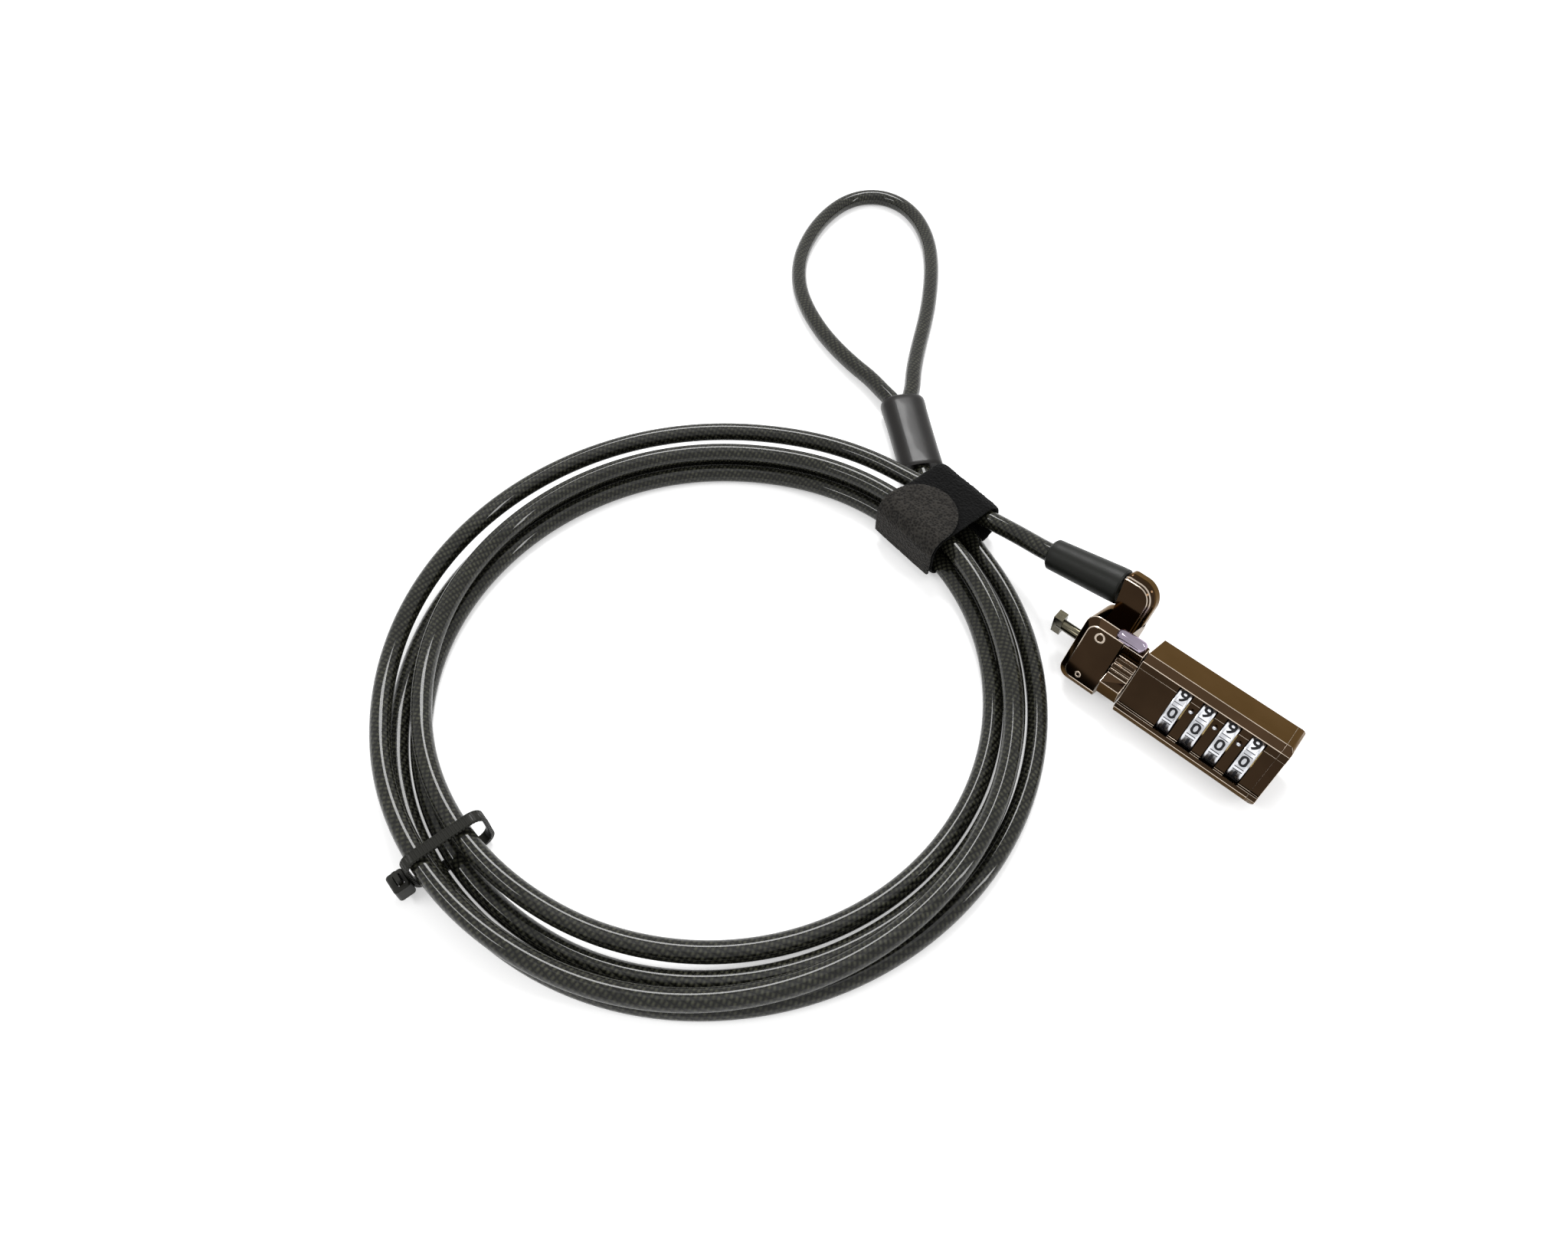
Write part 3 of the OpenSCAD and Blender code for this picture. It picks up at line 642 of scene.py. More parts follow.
def sheathed_rope():
    """Twisted steel rope under a smoky clear sheath."""
    mat, tree, shader = new_material("sheathed rope")
    turns = 1.0 / sizes().lay_length
    lay = use_group(tree, "rope", {"Strands": 10.0, "Turns per metre": turns})
    c = colours()
    mask = math_node(tree, "MULTIPLY", lay["Strand"], lay["Wire"])
    mask = math_node(tree, "MULTIPLY", mask, spread(tree, lay["Cloud"], 0.35, 1.0))
    height = math_node(tree, "ADD", lay["Strand"], math_node(tree, "MULTIPLY", lay["Wire"], 0.3))
    finish = {
        "Base Color": mixed(tree, mask, tuple(c.rope_dark), tuple(c.rope_light)),
        "Roughness": 0.5,
        "Specular IOR Level": 0.05,
        "Coat Weight": 0.85,
        "Coat IOR": 1.36,
        "Coat Roughness": 0.05,
        "Normal": bump(tree, height, 0.6, 0.0005),
    }
    feed(tree, shader.inputs, finish)
    MATERIALS["sheathed rope"] = mat


# ---- operators ----


class LOCK_OT_finishes(bpy.types.Operator):
    """Build the shared node groups and every finish."""

    bl_idname = "cable_lock.finishes"
    bl_label = "Finishes"

    def execute(self, context):
        GROUPS["handling"] = make_handling_group()
        GROUPS["rope"] = make_rope_group()
        GROUPS["pile"] = make_pile_group()
        c = colours()
        plated = {"darker": 0.45, "scratch": 0.02}
        metal("gunmetal plating", tuple(c.gunmetal), 0.07, 0.05, **plated, tint=(0.66, 0.58, 0.5))
        metal("bright chrome", (0.42, 0.36, 0.45), 0.05, 0.05, **plated, tint=(0.6, 0.5, 0.6))
        # pale bright plating for the rounded edges and the lever marks: a painted highlight that
        # stands in for the lamps' reflections along the edges
        metal("painted highlight plating", (0.8, 0.68, 0.56), 0.16, 0.08, 0.45, 0.03, tint=(0.9, 0.88, 0.85))
        metal("dark nickel", (0.11, 0.10, 0.07), 0.1, 0.08, darker=0.5, scratch=0.04)
        metal("dial silver", tuple(c.silver), 0.22, scratch=0.08)
        metal("plain steel", (0.5, 0.5, 0.5), 0.25)
        metal("clutch brass", (0.6, 0.45, 0.2), 0.3)
        metal("crimp aluminium", (0.6, 0.6, 0.6), 0.35)
        plastic("sleeve rubber", tuple(c.rubber), 0.4, grain=0.25, distance=0.00005)
        plastic("gloss black", (0.003, 0.0022, 0.0018), 0.3, coat=0.12, grain=0.05)
        plastic("tie nylon", (0.006, 0.006, 0.004), 0.38, coat=0.05)
        plastic("dial ink", (0.012, 0.012, 0.014), 0.4, grain=0.1)
        tape("strap pile", (0.002, 0.002, 0.002), sheen=0.04)
        tape("strap hooks", (0.034, 0.031, 0.027), sheen=0.08)
        sheathed_rope()
        return {"FINISHED"}


FOCAL_PIXELS, PHOTO_WIDE = 1375, 2047
SEEN_GLOW = 0.42  # of the floor, for rays that look at it but don't light the lock
WORLD_LIGHT, WORLD_SEEN = 0.4, 0.6


class LOCK_OT_camera(bpy.types.Operator):
    """Place the camera, the floor, the lamps and the world."""

    bl_idname = "cable_lock.stage"
    bl_label = "Stage"

    def execute(self, context):
        scene = context.scene
        scene.view_settings.view_transform = "Standard"
        # the camera as solved from the photo: how far down and how far left it looks
        tilt = radians(55.5)
        turn = radians(42.77)
        eye = Vector((21.3, -161.4, 228.6)) * MM
        ahead = Vector((-sin(turn) * cos(tilt), cos(turn) * cos(tilt), -sin(tilt)))
        data = bpy.data.cameras.new("camera")
        data.sensor_width = 36.0
        data.lens = data.sensor_width * FOCAL_PIXELS / PHOTO_WIDE
        data.clip_start, data.clip_end = 0.01, 20.0
        camera = linked("camera", data)
        camera.location = eye
        camera.rotation_euler = ahead.to_track_quat("-Z", "Y").to_euler()
        scene.camera = camera

        bm = bmesh.new()
        bmesh.ops.create_grid(bm, x_segments=2, y_segments=2, size=4.0)
        mesh = bpy.data.meshes.new("floor")
        bm.to_mesh(mesh)
        bm.free()
        floor = linked("floor", mesh)
        floor.location = (-0.08, -0.02, 0.0)
        mesh.materials.append(floor_material())

        # name, place, width, depth and power, all in metres and watts
        lamps = [
            ("key", (-0.47, 0.48, 0.86), 0.5, 0.28, 8.5),
            ("edge", (-0.40, -0.62, 0.70), 0.45, 0.10, 2.2),
            ("side", (0.75, 0.35, 0.60), 0.08, 0.5, 2.0),
            ("soft", (0.1, 0.0, 1.4), 1.0, 1.0, 3.0),
        ]
        for name, place, wide, deep, power in lamps:
            light = bpy.data.lights.new(name, "AREA")
            light.shape = "RECTANGLE"
            light.size, light.size_y, light.energy = wide, deep, power
            lamp = linked(name, light)
            lamp.location = place
            aim = Vector((-0.05, -0.02, 0.0)) - Vector(place)
            lamp.rotation_euler = aim.to_track_quat("-Z", "Y").to_euler()
        scene.world = white_world()
        return {"FINISHED"}


def seen_rays(tree):
    """One where a camera, glossy or transmission ray looks."""
    rays = tree.nodes.new("ShaderNodeLightPath")
    first = math_node(tree, "ADD", rays.outputs["Is Camera Ray"], rays.outputs["Is Glossy Ray"])
    both = math_node(tree, "ADD", first, rays.outputs["Is Transmission Ray"])
    return math_node(tree, "MINIMUM", both, 1.0)


def floor_material():
    """White paper that looks evenly white and still takes a faint shadow."""
    mat, tree, shader = new_material("floor")
    cloud = noise_node(tree, object_coords(tree), 3.0)
    finish = {
        "Base Color": mixed(tree, cloud, (0.93, 0.93, 0.93), (0.95, 0.95, 0.95)),
        "Roughness": 0.9,
        "Specular IOR Level": 0.0,
        "Emission Color": (1.0, 1.0, 1.0),
        "Emission Strength": math_node(tree, "MULTIPLY", seen_rays(tree), SEEN_GLOW),
    }
    feed(tree, shader.inputs, finish)
    return mat


def white_world():
    world = bpy.data.worlds.new("studio")
    world.use_nodes = True
    tree = world.node_tree
    strength = math_node(tree, "MULTIPLY_ADD", seen_rays(tree), WORLD_SEEN, WORLD_LIGHT)
    values = {"Color": (1.0, 1.0, 1.0), "Strength": strength}
    feed(tree, tree.nodes["Background"].inputs, values)
    return world


class LOCK_OT_cable(bpy.types.Operator):
    """Sweep the sheathed cable along its tail, coil and lead, and round its eye."""

    bl_idname = "cable_lock.cable"
    bl_label = "Cable"

    def execute(self, context):
        route = main_route()
        main = swept("sheathed_cable", route)
        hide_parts("cable_tail", "cable_coil", "cable_lead")
        loop = eye_route()
        eye = swept("cable_eye_loop", loop)
        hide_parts("cable_eye")
        return {"FINISHED"}


NODE_FINISHES = {
    "gunmetal plating": ["head_neck", "lever_ring"],
    "plain steel": [
        "end_cap_screw", "code_reset_screw", "detent_spring", "lever_pin",
        "spindle_clip", "lug_rivet", "cable_end_fitting",
    ],
    "dark nickel": ["t_bar_spindle"],
    "dial silver": [f"dial_{i}" for i in range(1, 5)],
    "clutch brass": [f"dial_clutch_{i}" for i in range(1, 5)],
    "sleeve rubber": ["cable_sleeve"],
    "crimp aluminium": ["eye_ferrule"],
}
# How much of the edge rounding each of the frame's pieces that show takes.
ROUNDED = {"lever_ring": 0.7, "t_bar_spindle": 0.7, "cable_sleeve": 1.2}
ROUNDED.update({f"dial_{i}": 0.4 for i in range(1, 5)})


class LOCK_OT_metal(bpy.types.Operator):
    """Finish the frame's own pieces and round the edges of those that show."""

    bl_idname = "cable_lock.frame_pieces"
    bl_label = "Frame pieces"

    def execute(self, context):
        for finish, nodes in NODE_FINISHES.items():
            for node in nodes:
                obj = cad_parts[node]
                obj.data.materials.clear()
                obj.data.materials.append(MATERIALS[finish])
                if node not in ROUNDED:
                    continue
                weld = obj.modifiers.new("weld", "WELD")
                weld.merge_threshold = 0.000002
                bevel = obj.modifiers.new("edges", "BEVEL")
                bevel.width = sizes().edge_round * ROUNDED[node]
                bevel.segments = 3
                bevel.limit_method = "ANGLE"
                bevel.angle_limit = radians(35)
                bevel.harden_normals = True
                # the bevels of plated pieces take the bright plating, a painted highlight along
                # their edges
                if finish == "gunmetal plating":
                    obj.data.materials.append(MATERIALS["painted highlight plating"])
                    bevel.material = 1
        return {"FINISHED"}


DIGIT_WIDER = 1.2  # the numbers are wider than the font draws them
FONT_PER_HEIGHT = 1.5
RAISED = 0.04
LINE_AWAY = 1.92  # a line's distance from the middle of its number
LINE_HALF_LONG, LINE_HALF_WIDE = 1.25, 0.075


class LOCK_OT_digits(bpy.types.Operator):
    """Set the numbers on the four dials."""

    bl_idname = "cable_lock.digits"
    bl_label = "Dial numbers"

    def execute(self, context):
        for i in range(4):
            bm = bmesh.new()
            for k in range(10):
                place = on_dial_face(DIAL_X[i], PANEL_R, 0, radians(36 * k))
                add_digit(bm, str(k), place)
                for line in (-LINE_AWAY, LINE_AWAY):
                    add_line(bm, place @ Matrix.Translation((0, line, 0)))
            dial = f"dial_{i + 1}"
            piece = finished(f"{dial}_numbers", bm, "dial ink", dial, smooth=False)
        return {"FINISHED"}


def add_digit(bm, digit, place):
    """A raised number, facing +Z of the place's frame, in millimetres."""
    curve = bpy.data.curves.new("digit", "FONT")
    curve.body = digit
    curve.align_x = curve.align_y = "CENTER"
    curve.size = sizes().digit_height / MM * FONT_PER_HEIGHT
    curve.extrude = RAISED
    curve.offset = 0.1
    curve.resolution_u = 6
    obj = linked("digit", curve)
    drawn = obj.evaluated_get(bpy.context.evaluated_depsgraph_get())
    mesh = bpy.data.meshes.new_from_object(drawn)
    mesh.transform(place @ Matrix.Scale(DIGIT_WIDER, 4, (1, 0, 0)))
    bm.from_mesh(mesh)
    bpy.data.objects.remove(obj)
    bpy.data.curves.remove(curve)
    bpy.data.meshes.remove(mesh)


def add_line(bm, place):
    """A thin raised line across a dial, between two panels."""
    line = bmesh.new()
    bmesh.ops.create_grid(line, x_segments=1, y_segments=1, size=1)
    bmesh.ops.scale(line, vec=(LINE_HALF_LONG, LINE_HALF_WIDE, 1), verts=line.verts)
    grown = bmesh.ops.extrude_face_region(line, geom=line.faces[:])
    up = [v for v in grown["geom"] if isinstance(v, bmesh.types.BMVert)]
    bmesh.ops.translate(line, verts=up, vec=(0, 0, RAISED))
    bmesh.ops.transform(line, matrix=place, verts=line.verts)
    add_piece(bm, line)


class LOCK_OT_nose(bpy.types.Operator):
    """Model the nose block with its rounded bevels and its two lever marks."""

    bl_idname = "cable_lock.nose"
    bl_label = "Nose block"

    def execute(self, context):
        # place in Y, and how far the outline has shrunk there
        stations = [
            (-FRONT, 1.85), (-FRONT + 0.1, 1.62), (-4.9, 0.12), (-4.65, 0.0),
            (BACK - 2.1, 0.0), (BACK - 1.9, 0.1), (BACK, 2.0),
        ]
        loops = []
        for y, inset in stations:
            outline = rounded_outline(
                X_NOSE + inset, X_HEAD + 3, -HALF + inset, HALF - inset, 2.9 - inset * 0.4, 12
            )
            loops.append([(min(x, X_HEAD), y, z) for x, z in outline])
        # the front rim and the outer step of the bevel take the bright plating: painted highlight
        # lines
        bm = lofted(loops, rolled(), bands=(0, 2))
        cut_at(bm, (0, 0, 0), (0, 0, 1), clear_inner=True)  # the floor's plane
        nose = plated("nose_block", bm, 14)
        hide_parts("head_block")

        marks = bmesh.new()
        for z, outer, inner in ((5.3, 1.35, 0.8), (-5.9, 0.85, 0.35)):
            section = [
                (outer, 0.0), (outer - 0.04, 0.12), (outer - 0.15, 0.16),
                (inner + 0.15, 0.16), (inner + 0.04, 0.12), (inner, 0.0), (outer, 0.0),
            ]
            loops = [[(x, y, up) for x, y in circle(r, 48)] for r, up in section]
            add_piece(marks, lofted(loops, on_dial_face(X_NOSE + 5.3, FRONT - 0.02, z)))
        # the marks are in the bright plating, a painted highlight on them
        finished("lever_marks", marks, "painted highlight plating", "lock", angle=35)
        return {"FINISHED"}


COVER_R = 4.0


def squared(x):
    """A cosine or sine, pushed outwards so that a circle comes out slightly squared."""
    return abs(x) ** 0.85 * (1 if x >= 0 else -1)


class LOCK_OT_cover(bpy.types.Operator):
    """Loft the black cover of the ferrule, a little wider at its mouth."""

    bl_idname = "cable_lock.ferrule_cover"
    bl_label = "Ferrule cover"

    def execute(self, context):
        # along the cover, and its size there as a part of its full one
        stations = [
            (0.5, 0.74), (0.0, 0.88), (0.15, 0.97), (0.6, 1.01), (2.2, 1.015), (5.0, 0.98),
            (12.0, 0.95), (22.0, 0.93), (26.6, 0.935), (27.6, 0.92), (28.0, 0.86),
            (27.7, 0.76),
        ]
        loops = []
        for along, grow in stations:
            r = COVER_R * grow
            ring = [(squared(x), squared(y)) for x, y in circle(1, 48)]
            loops.append([(along, (FERRULE_HALF + r) * x, r * y) for x, y in ring])
        bm = lofted(loops, frame_at(FERRULE_FROM, FERRULE_DIR, "Z"))
        cover = finished("ferrule_sleeve", bm, "gloss black", "cable", angle=60)
        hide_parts("ferrule_cover")
        return {"FINISHED"}


# The strap, from the coil's middle: inner and outer side, height over the floor, width.
STRAP_IN, STRAP_OUT, STRAP_HIGH, STRAP_WIDTH = 65.2, 88.6, 13.2, 21.0
STRAP_THICK = 1.1
PILE_HIGH = 0.35
HOOKS_OFF = 0.9  # the hook end's middle lies this far outside the strap
HOOKS_THICK = 0.85
HOOKS_BEND = 5.0  # radius of its bend from the inner side onto the top
HOOKS_STEP = 0.3


class LOCK_OT_strap(bpy.types.Operator):
    """Model the fuzzy strap round the bundle and its woven hook end."""

    bl_idname = "cable_lock.strap"
    bl_label = "Strap"

    def execute(self, context):
        place = at_azimuth(STRAP_AZ)
        half = STRAP_THICK / 2
        outline = rounded_outline(
            STRAP_IN - half, STRAP_OUT + half, half, STRAP_HIGH + half, 4.4, 12
        )
        around, across, inside = 260, 64, 12
        points = even_loop(outline, around)
        loops = []
        for i in range(around + 1):
            here = points[i % around]
            way = heading_round(points, i)
            out = Vector((way.z, 0, -way.x))
            loop = []
            for j in range(across + 1):
                w = 2 * j / across - 1
                edge = 1 - abs(w) ** 14
                spot = Vector((here.x, w * STRAP_WIDTH / 2, here.z))
                pile = noise.noise(spot * 2.4) * 0.2 + noise.noise(spot * 5.5) * 0.14
                sag = 0.3 * noise.noise(Vector((here.x * 0.12, w * 1.3, here.z * 0.12)))
                spot.y += 0.2 * noise.noise(spot * 0.9) * abs(w) ** 20
                spot += (PILE_HIGH * edge + (pile + sag) * edge) * out
                spot.z = max(spot.z, 0.02)  # it lies on the floor
                loop.append(spot)
            for j in range(inside + 1):
                y = (1 - 2 * j / inside) * (STRAP_WIDTH / 2 - 0.3)
                loop.append(Vector((here.x, y, here.z)) - 0.4 * out)
            loops.append(loop)
        bm = lofted(loops, place)
        strap = finished("strap_loop", bm, "strap pile", "cable", angle=180)
        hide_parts("strap_band")

        # from the foot of the inner side up over the corner and along the top to the tip
        x0 = STRAP_IN - STRAP_THICK - HOOKS_OFF
        z1 = STRAP_HIGH + STRAP_THICK + HOOKS_OFF
        bend_x, bend_z = x0 + HOOKS_BEND, z1 - HOOKS_BEND
        rise = [(x0, 3.2 + HOOKS_STEP * i) for i in range(21)]
        route = [(x, z) for x, z in rise if z < bend_z]
        route += arc(bend_x, bend_z, HOOKS_BEND, 180, -90, 16)
        route += [(bend_x + HOOKS_STEP * i, z1) for i in range(1, 37)]
        route = [Vector((x, 0, z)) for x, z in route]
        far = distances(route)
        half, cells = STRAP_WIDTH / 2 - 0.2, 40
        loops = []
        for i, here in enumerate(route):
            # the tip is a half circle
            ahead = max(0.0, far[i] - (far[-1] - half))
            wide = max(0.6, (max(0.0, half**2 - ahead**2)) ** 0.5)
            way = heading(route, i)
            out = Vector((-way.z, 0, way.x))
            loop = []
            for j in [*range(cells + 1), *range(cells, -1, -1)]:
                w = j / (cells / 2) - 1
                spot = Vector((here.x, w * wide, here.z))
                rim = 0.14 * abs(w) ** 30
                if len(loop) <= cells:
                    weave = 0.08 * noise.noise(spot * 3.1) + 0.08 * noise.noise(spot * 0.5)
                    spot += out * (weave - rim)
                else:
                    spot -= out * (HOOKS_THICK - rim)
                loop.append(spot)
            loops.append(loop)
        bm = lofted(loops, place)
        hooks = finished("strap_hooks", bm, "strap hooks", "cable", angle=60)
        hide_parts("strap_hook_end")
        return {"FINISHED"}


LUG_LONG, LUG_HIGH, LUG_FRONT, LUG_BACK = 9.5, 10.3, 3.1, 8.3
LUG_BIG_ROUND, LUG_SMALL_ROUND = 5.5, 1.5
LUG_IN, LUG_SUNK = 1.1, 0.8  # from the nose block's left face, and into its top


class LOCK_OT_lug(bpy.types.Operator):
    """Loft the lug as a rounded plate with a concentric step on its front."""

    bl_idname = "cable_lock.lug"
    bl_label = "Lug"

    def execute(self, context):
        # place in Y, and how far the outline has shrunk there
        stations = [
            (LUG_FRONT, 1.75), (LUG_FRONT + 0.08, 1.5), (LUG_FRONT + 0.5, 1.2),
            (LUG_FRONT + 0.55, 0.85), (LUG_FRONT + 0.75, 0.45), (LUG_FRONT + 1.1, 0.18),
            (LUG_FRONT + 1.6, 0.03), (LUG_FRONT + 2.1, 0.0), (LUG_BACK - 0.5, 0.0),
            (LUG_BACK - 0.15, 0.15), (LUG_BACK, 0.5),
        ]
        loops = []
        for y, inset in stations:
            right, top = LUG_LONG - inset, LUG_HIGH - inset
            big, small = LUG_BIG_ROUND - inset, LUG_SMALL_ROUND - 0.5 * inset
            loop = [
                (0.0, -LUG_SUNK),
                (right, -LUG_SUNK),
                *arc(right - big, top - big, big, 0, 90, 24),
                *arc(small, top - small, small, 90, 90, 24),
            ]
            loops.append([(X_NOSE + LUG_IN + x, y, HALF + z) for x, z in loop])
        # the front rim and the step's edge take the bright plating: painted highlight lines
        bm = lofted(loops, rolled(), bands=(0, 2))
        cut_at(bm, SLEEVE_FROM * MM, SLEEVE_DIR, clear_outer=True)  # the sleeve's end face
        lug = plated("lug_plate", bm, 14)
        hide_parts("cable_lug")
        return {"FINISHED"}


TAB_ANGLE = radians(54)  # round the spindle from the dial face
TAB_AWAY, TAB_HALF, TAB_ROUND, TAB_LONG = 11.901, 1.3, 1.5, 7.7


class LOCK_OT_tab(bpy.types.Operator):
    """Loft the chrome thumb tab as a faceted pill."""

    bl_idname = "cable_lock.tab"
    bl_label = "Thumb tab"

    def execute(self, context):
        # height over the tab's middle, and how far the pill has shrunk there
        stations = [
            (-TAB_HALF, 0.5), (-0.95, 0.1), (-0.75, 0.0), (0.1, 0.0), (0.3, 0.07),
            (0.85, 0.5), (0.95, 0.6), (1.25, 1.05), (TAB_HALF, 1.15),
        ]
        loops = []
        for z, inset in stations:
            r = TAB_ROUND - inset
            pill = arc(TAB_LONG - 2 * TAB_ROUND, 0, r, -90, 180, 16) + arc(0, 0, r, 90, 180, 16)
            loops.append([(x, y, z) for x, y in pill])
        bm = lofted(loops, on_dial_face(X_HEAD - 1.0, TAB_AWAY, 0, -TAB_ANGLE))
        tab = finished("thumb_tab", bm, "bright chrome", "lever", angle=24)
        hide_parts("lever_tab")
        return {"FINISHED"}


# The tie, likewise. Its head and tail stand at the coil's outer side.
TIE_IN, TIE_OUT, TIE_HIGH, TIE_WIDTH, TIE_THICK = 65.0, 83.1, 12.0, 2.6, 1.1
TIE_HEAD_X, TIE_HEAD_Z, TIE_TAIL_X = 86.2, 2.6, 86.0
RIB_DEEP = 0.16
TIE_TAIL_LONG, TIE_TEETH = 9.0, 40


class LOCK_OT_tie(bpy.types.Operator):
    """Model the nylon tie: its ribbed band, its head and its cut tail."""

    bl_idname = "cable_lock.tie"
    bl_label = "Cable tie"

    def execute(self, context):
        place = at_azimuth(TIE_AZ)
        outline = rounded_outline(
            TIE_IN - TIE_THICK, TIE_OUT + TIE_THICK, 0.03, TIE_HIGH + TIE_THICK, 3.4, 10
        )
        middle = Vector(((TIE_IN + TIE_OUT) / 2, 0, TIE_HIGH / 2))
        around = 420
        points = even_loop(outline, around)
        across = [-1.0, -0.86, -0.7, 0.7, 0.86, 1.0]
        bm = bmesh.new()
        bmesh.ops.create_grid(bm, x_segments=around, y_segments=len(across) - 1, size=1)
        for v in bm.verts:
            i = grid_step(v.co.x, around)
            w = across[grid_step(v.co.y, len(across) - 1)]
            here = points[i % around]
            way = heading_round(points, i)
            out = Vector((-way.z, 0, way.x))
            if out.dot(here - middle) < 0:
                out = -out
            rib = RIB_DEEP * (i % 6 > 2) if abs(w) < 0.8 else 0.0
            v.co = place @ (Vector((here.x, w * TIE_WIDTH / 2, here.z)) - out * rib)
        bmesh.ops.remove_doubles(bm, verts=bm.verts, dist=0.0000005)
        band = finished("tie_loop", bm, "tie nylon", "cable", angle=30)
        body = band.modifiers.new("thickness", "SOLIDIFY")
        body.thickness = (TIE_THICK - 0.25) * MM
        body.offset = -1
        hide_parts("tie_band")

        # half sizes, height and shift in X: outside from the foot up, then down the slot
        stations = [
            (0.85, 1.45, 0.0, -0.2), (1.7, 2.2, 0.0, 0.0), (2.0, 2.5, 0.35, 0.0),
            (2.0, 2.5, 4.6, 0.0), (1.7, 2.2, 5.0, 0.0), (0.85, 1.45, 5.0, -0.2),
            (0.85, 1.45, 0.0, -0.2),
        ]
        loops = []
        for wide, deep, z, shift in stations:
            flat = rounded_outline(-wide, wide, -deep, deep, 0.4 * wide, 6)
            loops.append([(x + shift, y, z) for x, y in flat])
        bm = lofted(loops, place @ Matrix.Translation((TIE_HEAD_X, 0, TIE_HEAD_Z)))
        head = finished("tie_lock", bm, "tie nylon", "cable", angle=35)
        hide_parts("tie_head")

        loops = []
        for i in range(TIE_TEETH + 1):
            z = 0.6 + TIE_TAIL_LONG * i / TIE_TEETH
            thin = 0.5 - 0.13 * (i % 2)
            slim = 1.3 - 0.35 * ease((8 - i) / 8)
            flat = rounded_outline(-0.5, thin, -slim, slim, 0.2, 3)
            loops.append([(x, y, z) for x, y in flat])
        bm = lofted(loops, place @ Matrix.Translation((TIE_TAIL_X, 0, 0)))
        tail = finished("tie_end", bm, "tie nylon", "cable", angle=30)
        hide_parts("tie_tail")
        return {"FINISHED"}


def frame_mesh(node):
    """A copy of a node's mesh in the lock's own frame, in mm, with its flat faces whole."""
    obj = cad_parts[node]
    bm = bmesh.new()
    bm.from_mesh(obj.data)
    bmesh.ops.transform(bm, matrix=rolled().inverted() @ obj.matrix_world, verts=bm.verts)
    bmesh.ops.remove_doubles(bm, verts=bm.verts, dist=0.002)
    flat = radians(1)
    bmesh.ops.dissolve_limit(
        bm, angle_limit=flat, verts=bm.verts, edges=bm.edges, use_dissolve_boundaries=False
    )
    return bm


def round_off(bm, edges, offset, segments):
    """Rounds edges of a piece, and gives the new faces its second finish, the bright plating that
    paints a highlight on them.
    """
    how = {"offset": offset, "segments": segments, "profile": 0.5, "clamp_overlap": True}
    made = bmesh.ops.bevel(bm, geom=edges, affect="EDGES", material=-1, **how)
    for face in made["faces"]:
        face.material_index = 1


def is_sharp(edge):
    return edge.is_manifold and edge.calc_face_angle(0) > radians(20)


def runs(edge, axis, shortest):
    """Whether an edge lies along an axis and is longer than the shortest."""
    way = edge.verts[1].co - edge.verts[0].co
    return way.length > shortest and abs(way[axis]) > 0.99 * way.length


def is_outer(edge):
    """An edge along the housing outside its channel, or round its front."""
    if not is_sharp(edge):
        return False
    at = edge.verts[0].co
    along = runs(edge, 0, 2.0) and (at.y < -4.6 or abs(at.z) > 8.2)
    front = all(abs(v.co.x - X_BODY) < 0.05 for v in edge.verts)
    return along or (front and edge.calc_length() > 1.0)


EDGE_ROUND, RIM_ROUND, CORNER_ROUND = 0.14, 0.12, 1.3


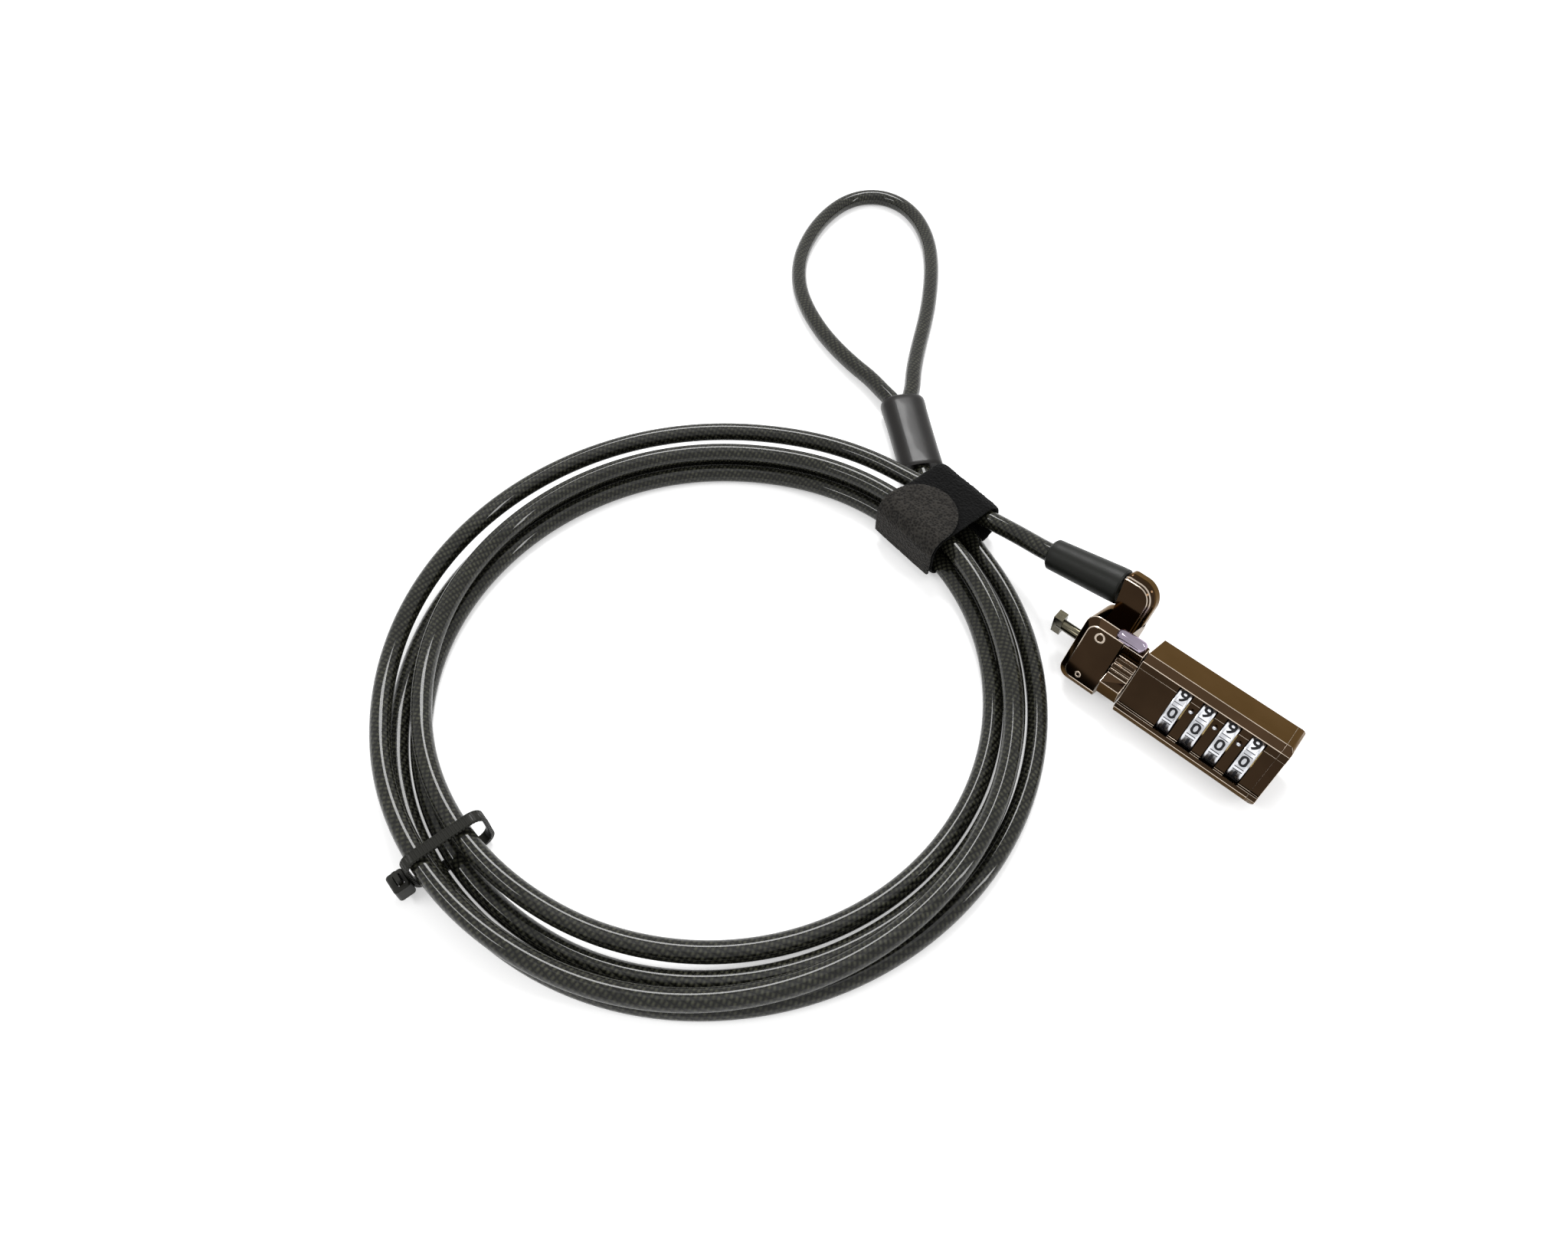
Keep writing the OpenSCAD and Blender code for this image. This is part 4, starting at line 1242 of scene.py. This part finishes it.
class LOCK_OT_housing(bpy.types.Operator):
    """Round the housing's and the end cap's outer edges, with a painted highlight of bright
    plating on their ridges.
    """

    bl_idname = "cable_lock.housing"
    bl_label = "Housing"

    def execute(self, context):
        bm = frame_mesh("housing_shell")
        round_off(bm, [e for e in bm.edges if is_outer(e)], EDGE_ROUND, 2)
        bmesh.ops.transform(bm, matrix=rolled(), verts=bm.verts)
        shell = plated("housing_body", bm, 30)
        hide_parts("housing_shell")

        bm = frame_mesh("housing_end_cap")
        ends = [e for e in bm.edges if is_sharp(e) and e.verts[0].co.x > X_END - 0.1]
        round_off(bm, [e for e in ends if runs(e, 1, 4.0)], CORNER_ROUND, 6)
        for face in bm.faces:
            face.material_index = 0
        rims = [e for e in bm.edges if is_sharp(e) and e.calc_length() > 0.4]
        rims = [e for e in rims if all(v.co.x > X_END - 2.5 for v in e.verts)]
        # the rims' rounding gets the painted highlight; the big corner roundings keep the plain
        # plating
        round_off(bm, rims, RIM_ROUND, 2)
        bmesh.ops.transform(bm, matrix=rolled(), verts=bm.verts)
        cap = plated("end_cap", bm, 30)
        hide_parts("housing_end_cap")

        # a low bump between each two dials: its height, and its width as a part of the foot's
        stations = [(0.0, 1.0), (0.25, 0.96), (0.45, 0.8), (0.58, 0.5), (0.63, 0.2)]
        loops = [[(0.78 * x, 0.6 * y, up) for x, y in circle(r, 24)] for up, r in stations]
        marks = bmesh.new()
        for x in DIAL_X[:3]:
            place = on_dial_face(x + DIAL_PITCH / 2, CHANNEL_FLOOR, BUMP_Z)
            add_piece(marks, lofted(loops, place))
        finished("reading_marks", marks, "dial silver", "lock", angle=60)
        return {"FINISHED"}


class LOCK_PT_panel(bpy.types.Panel):
    """Lists the operators that dress the lock."""

    bl_label = "Cable lock"
    bl_idname = "LOCK_PT_panel"
    bl_space_type = "VIEW_3D"
    bl_region_type = "UI"
    bl_category = "Cable lock"

    def draw(self, context):
        for prop in LockSizes.__annotations__:
            self.layout.prop(context.scene.lock_sizes, prop)
        for prop in LockColours.__annotations__:
            self.layout.prop(context.scene.lock_colours, prop)
        for operator in OPERATORS:
            self.layout.operator(operator.bl_idname)


# In the order in which they run; the cable is last.
OPERATORS = [
    LOCK_OT_finishes,
    LOCK_OT_camera,
    LOCK_OT_metal,
    LOCK_OT_digits,
    LOCK_OT_nose,
    LOCK_OT_cover,
    LOCK_OT_strap,
    LOCK_OT_lug,
    LOCK_OT_tab,
    LOCK_OT_tie,
    LOCK_OT_housing,
    LOCK_OT_cable,
]
CLASSES = [LockSizes, LockColours, *OPERATORS, LOCK_PT_panel]


def register():
    for cls in CLASSES:
        bpy.utils.register_class(cls)
    bpy.types.Scene.lock_sizes = bpy.props.PointerProperty(type=LockSizes)
    bpy.types.Scene.lock_colours = bpy.props.PointerProperty(type=LockColours)


def unregister():
    del bpy.types.Scene.lock_colours
    del bpy.types.Scene.lock_sizes
    for cls in reversed(CLASSES):
        bpy.utils.unregister_class(cls)


def main():
    register()
    bpy.ops.cable_lock.finishes()
    bpy.ops.cable_lock.stage()
    bpy.ops.cable_lock.frame_pieces()
    bpy.ops.cable_lock.digits()
    bpy.ops.cable_lock.nose()
    bpy.ops.cable_lock.ferrule_cover()
    bpy.ops.cable_lock.strap()
    bpy.ops.cable_lock.lug()
    bpy.ops.cable_lock.tab()
    bpy.ops.cable_lock.tie()
    bpy.ops.cable_lock.housing()
    bpy.ops.cable_lock.cable()
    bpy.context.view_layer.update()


if __name__ == "__main__":
    main()
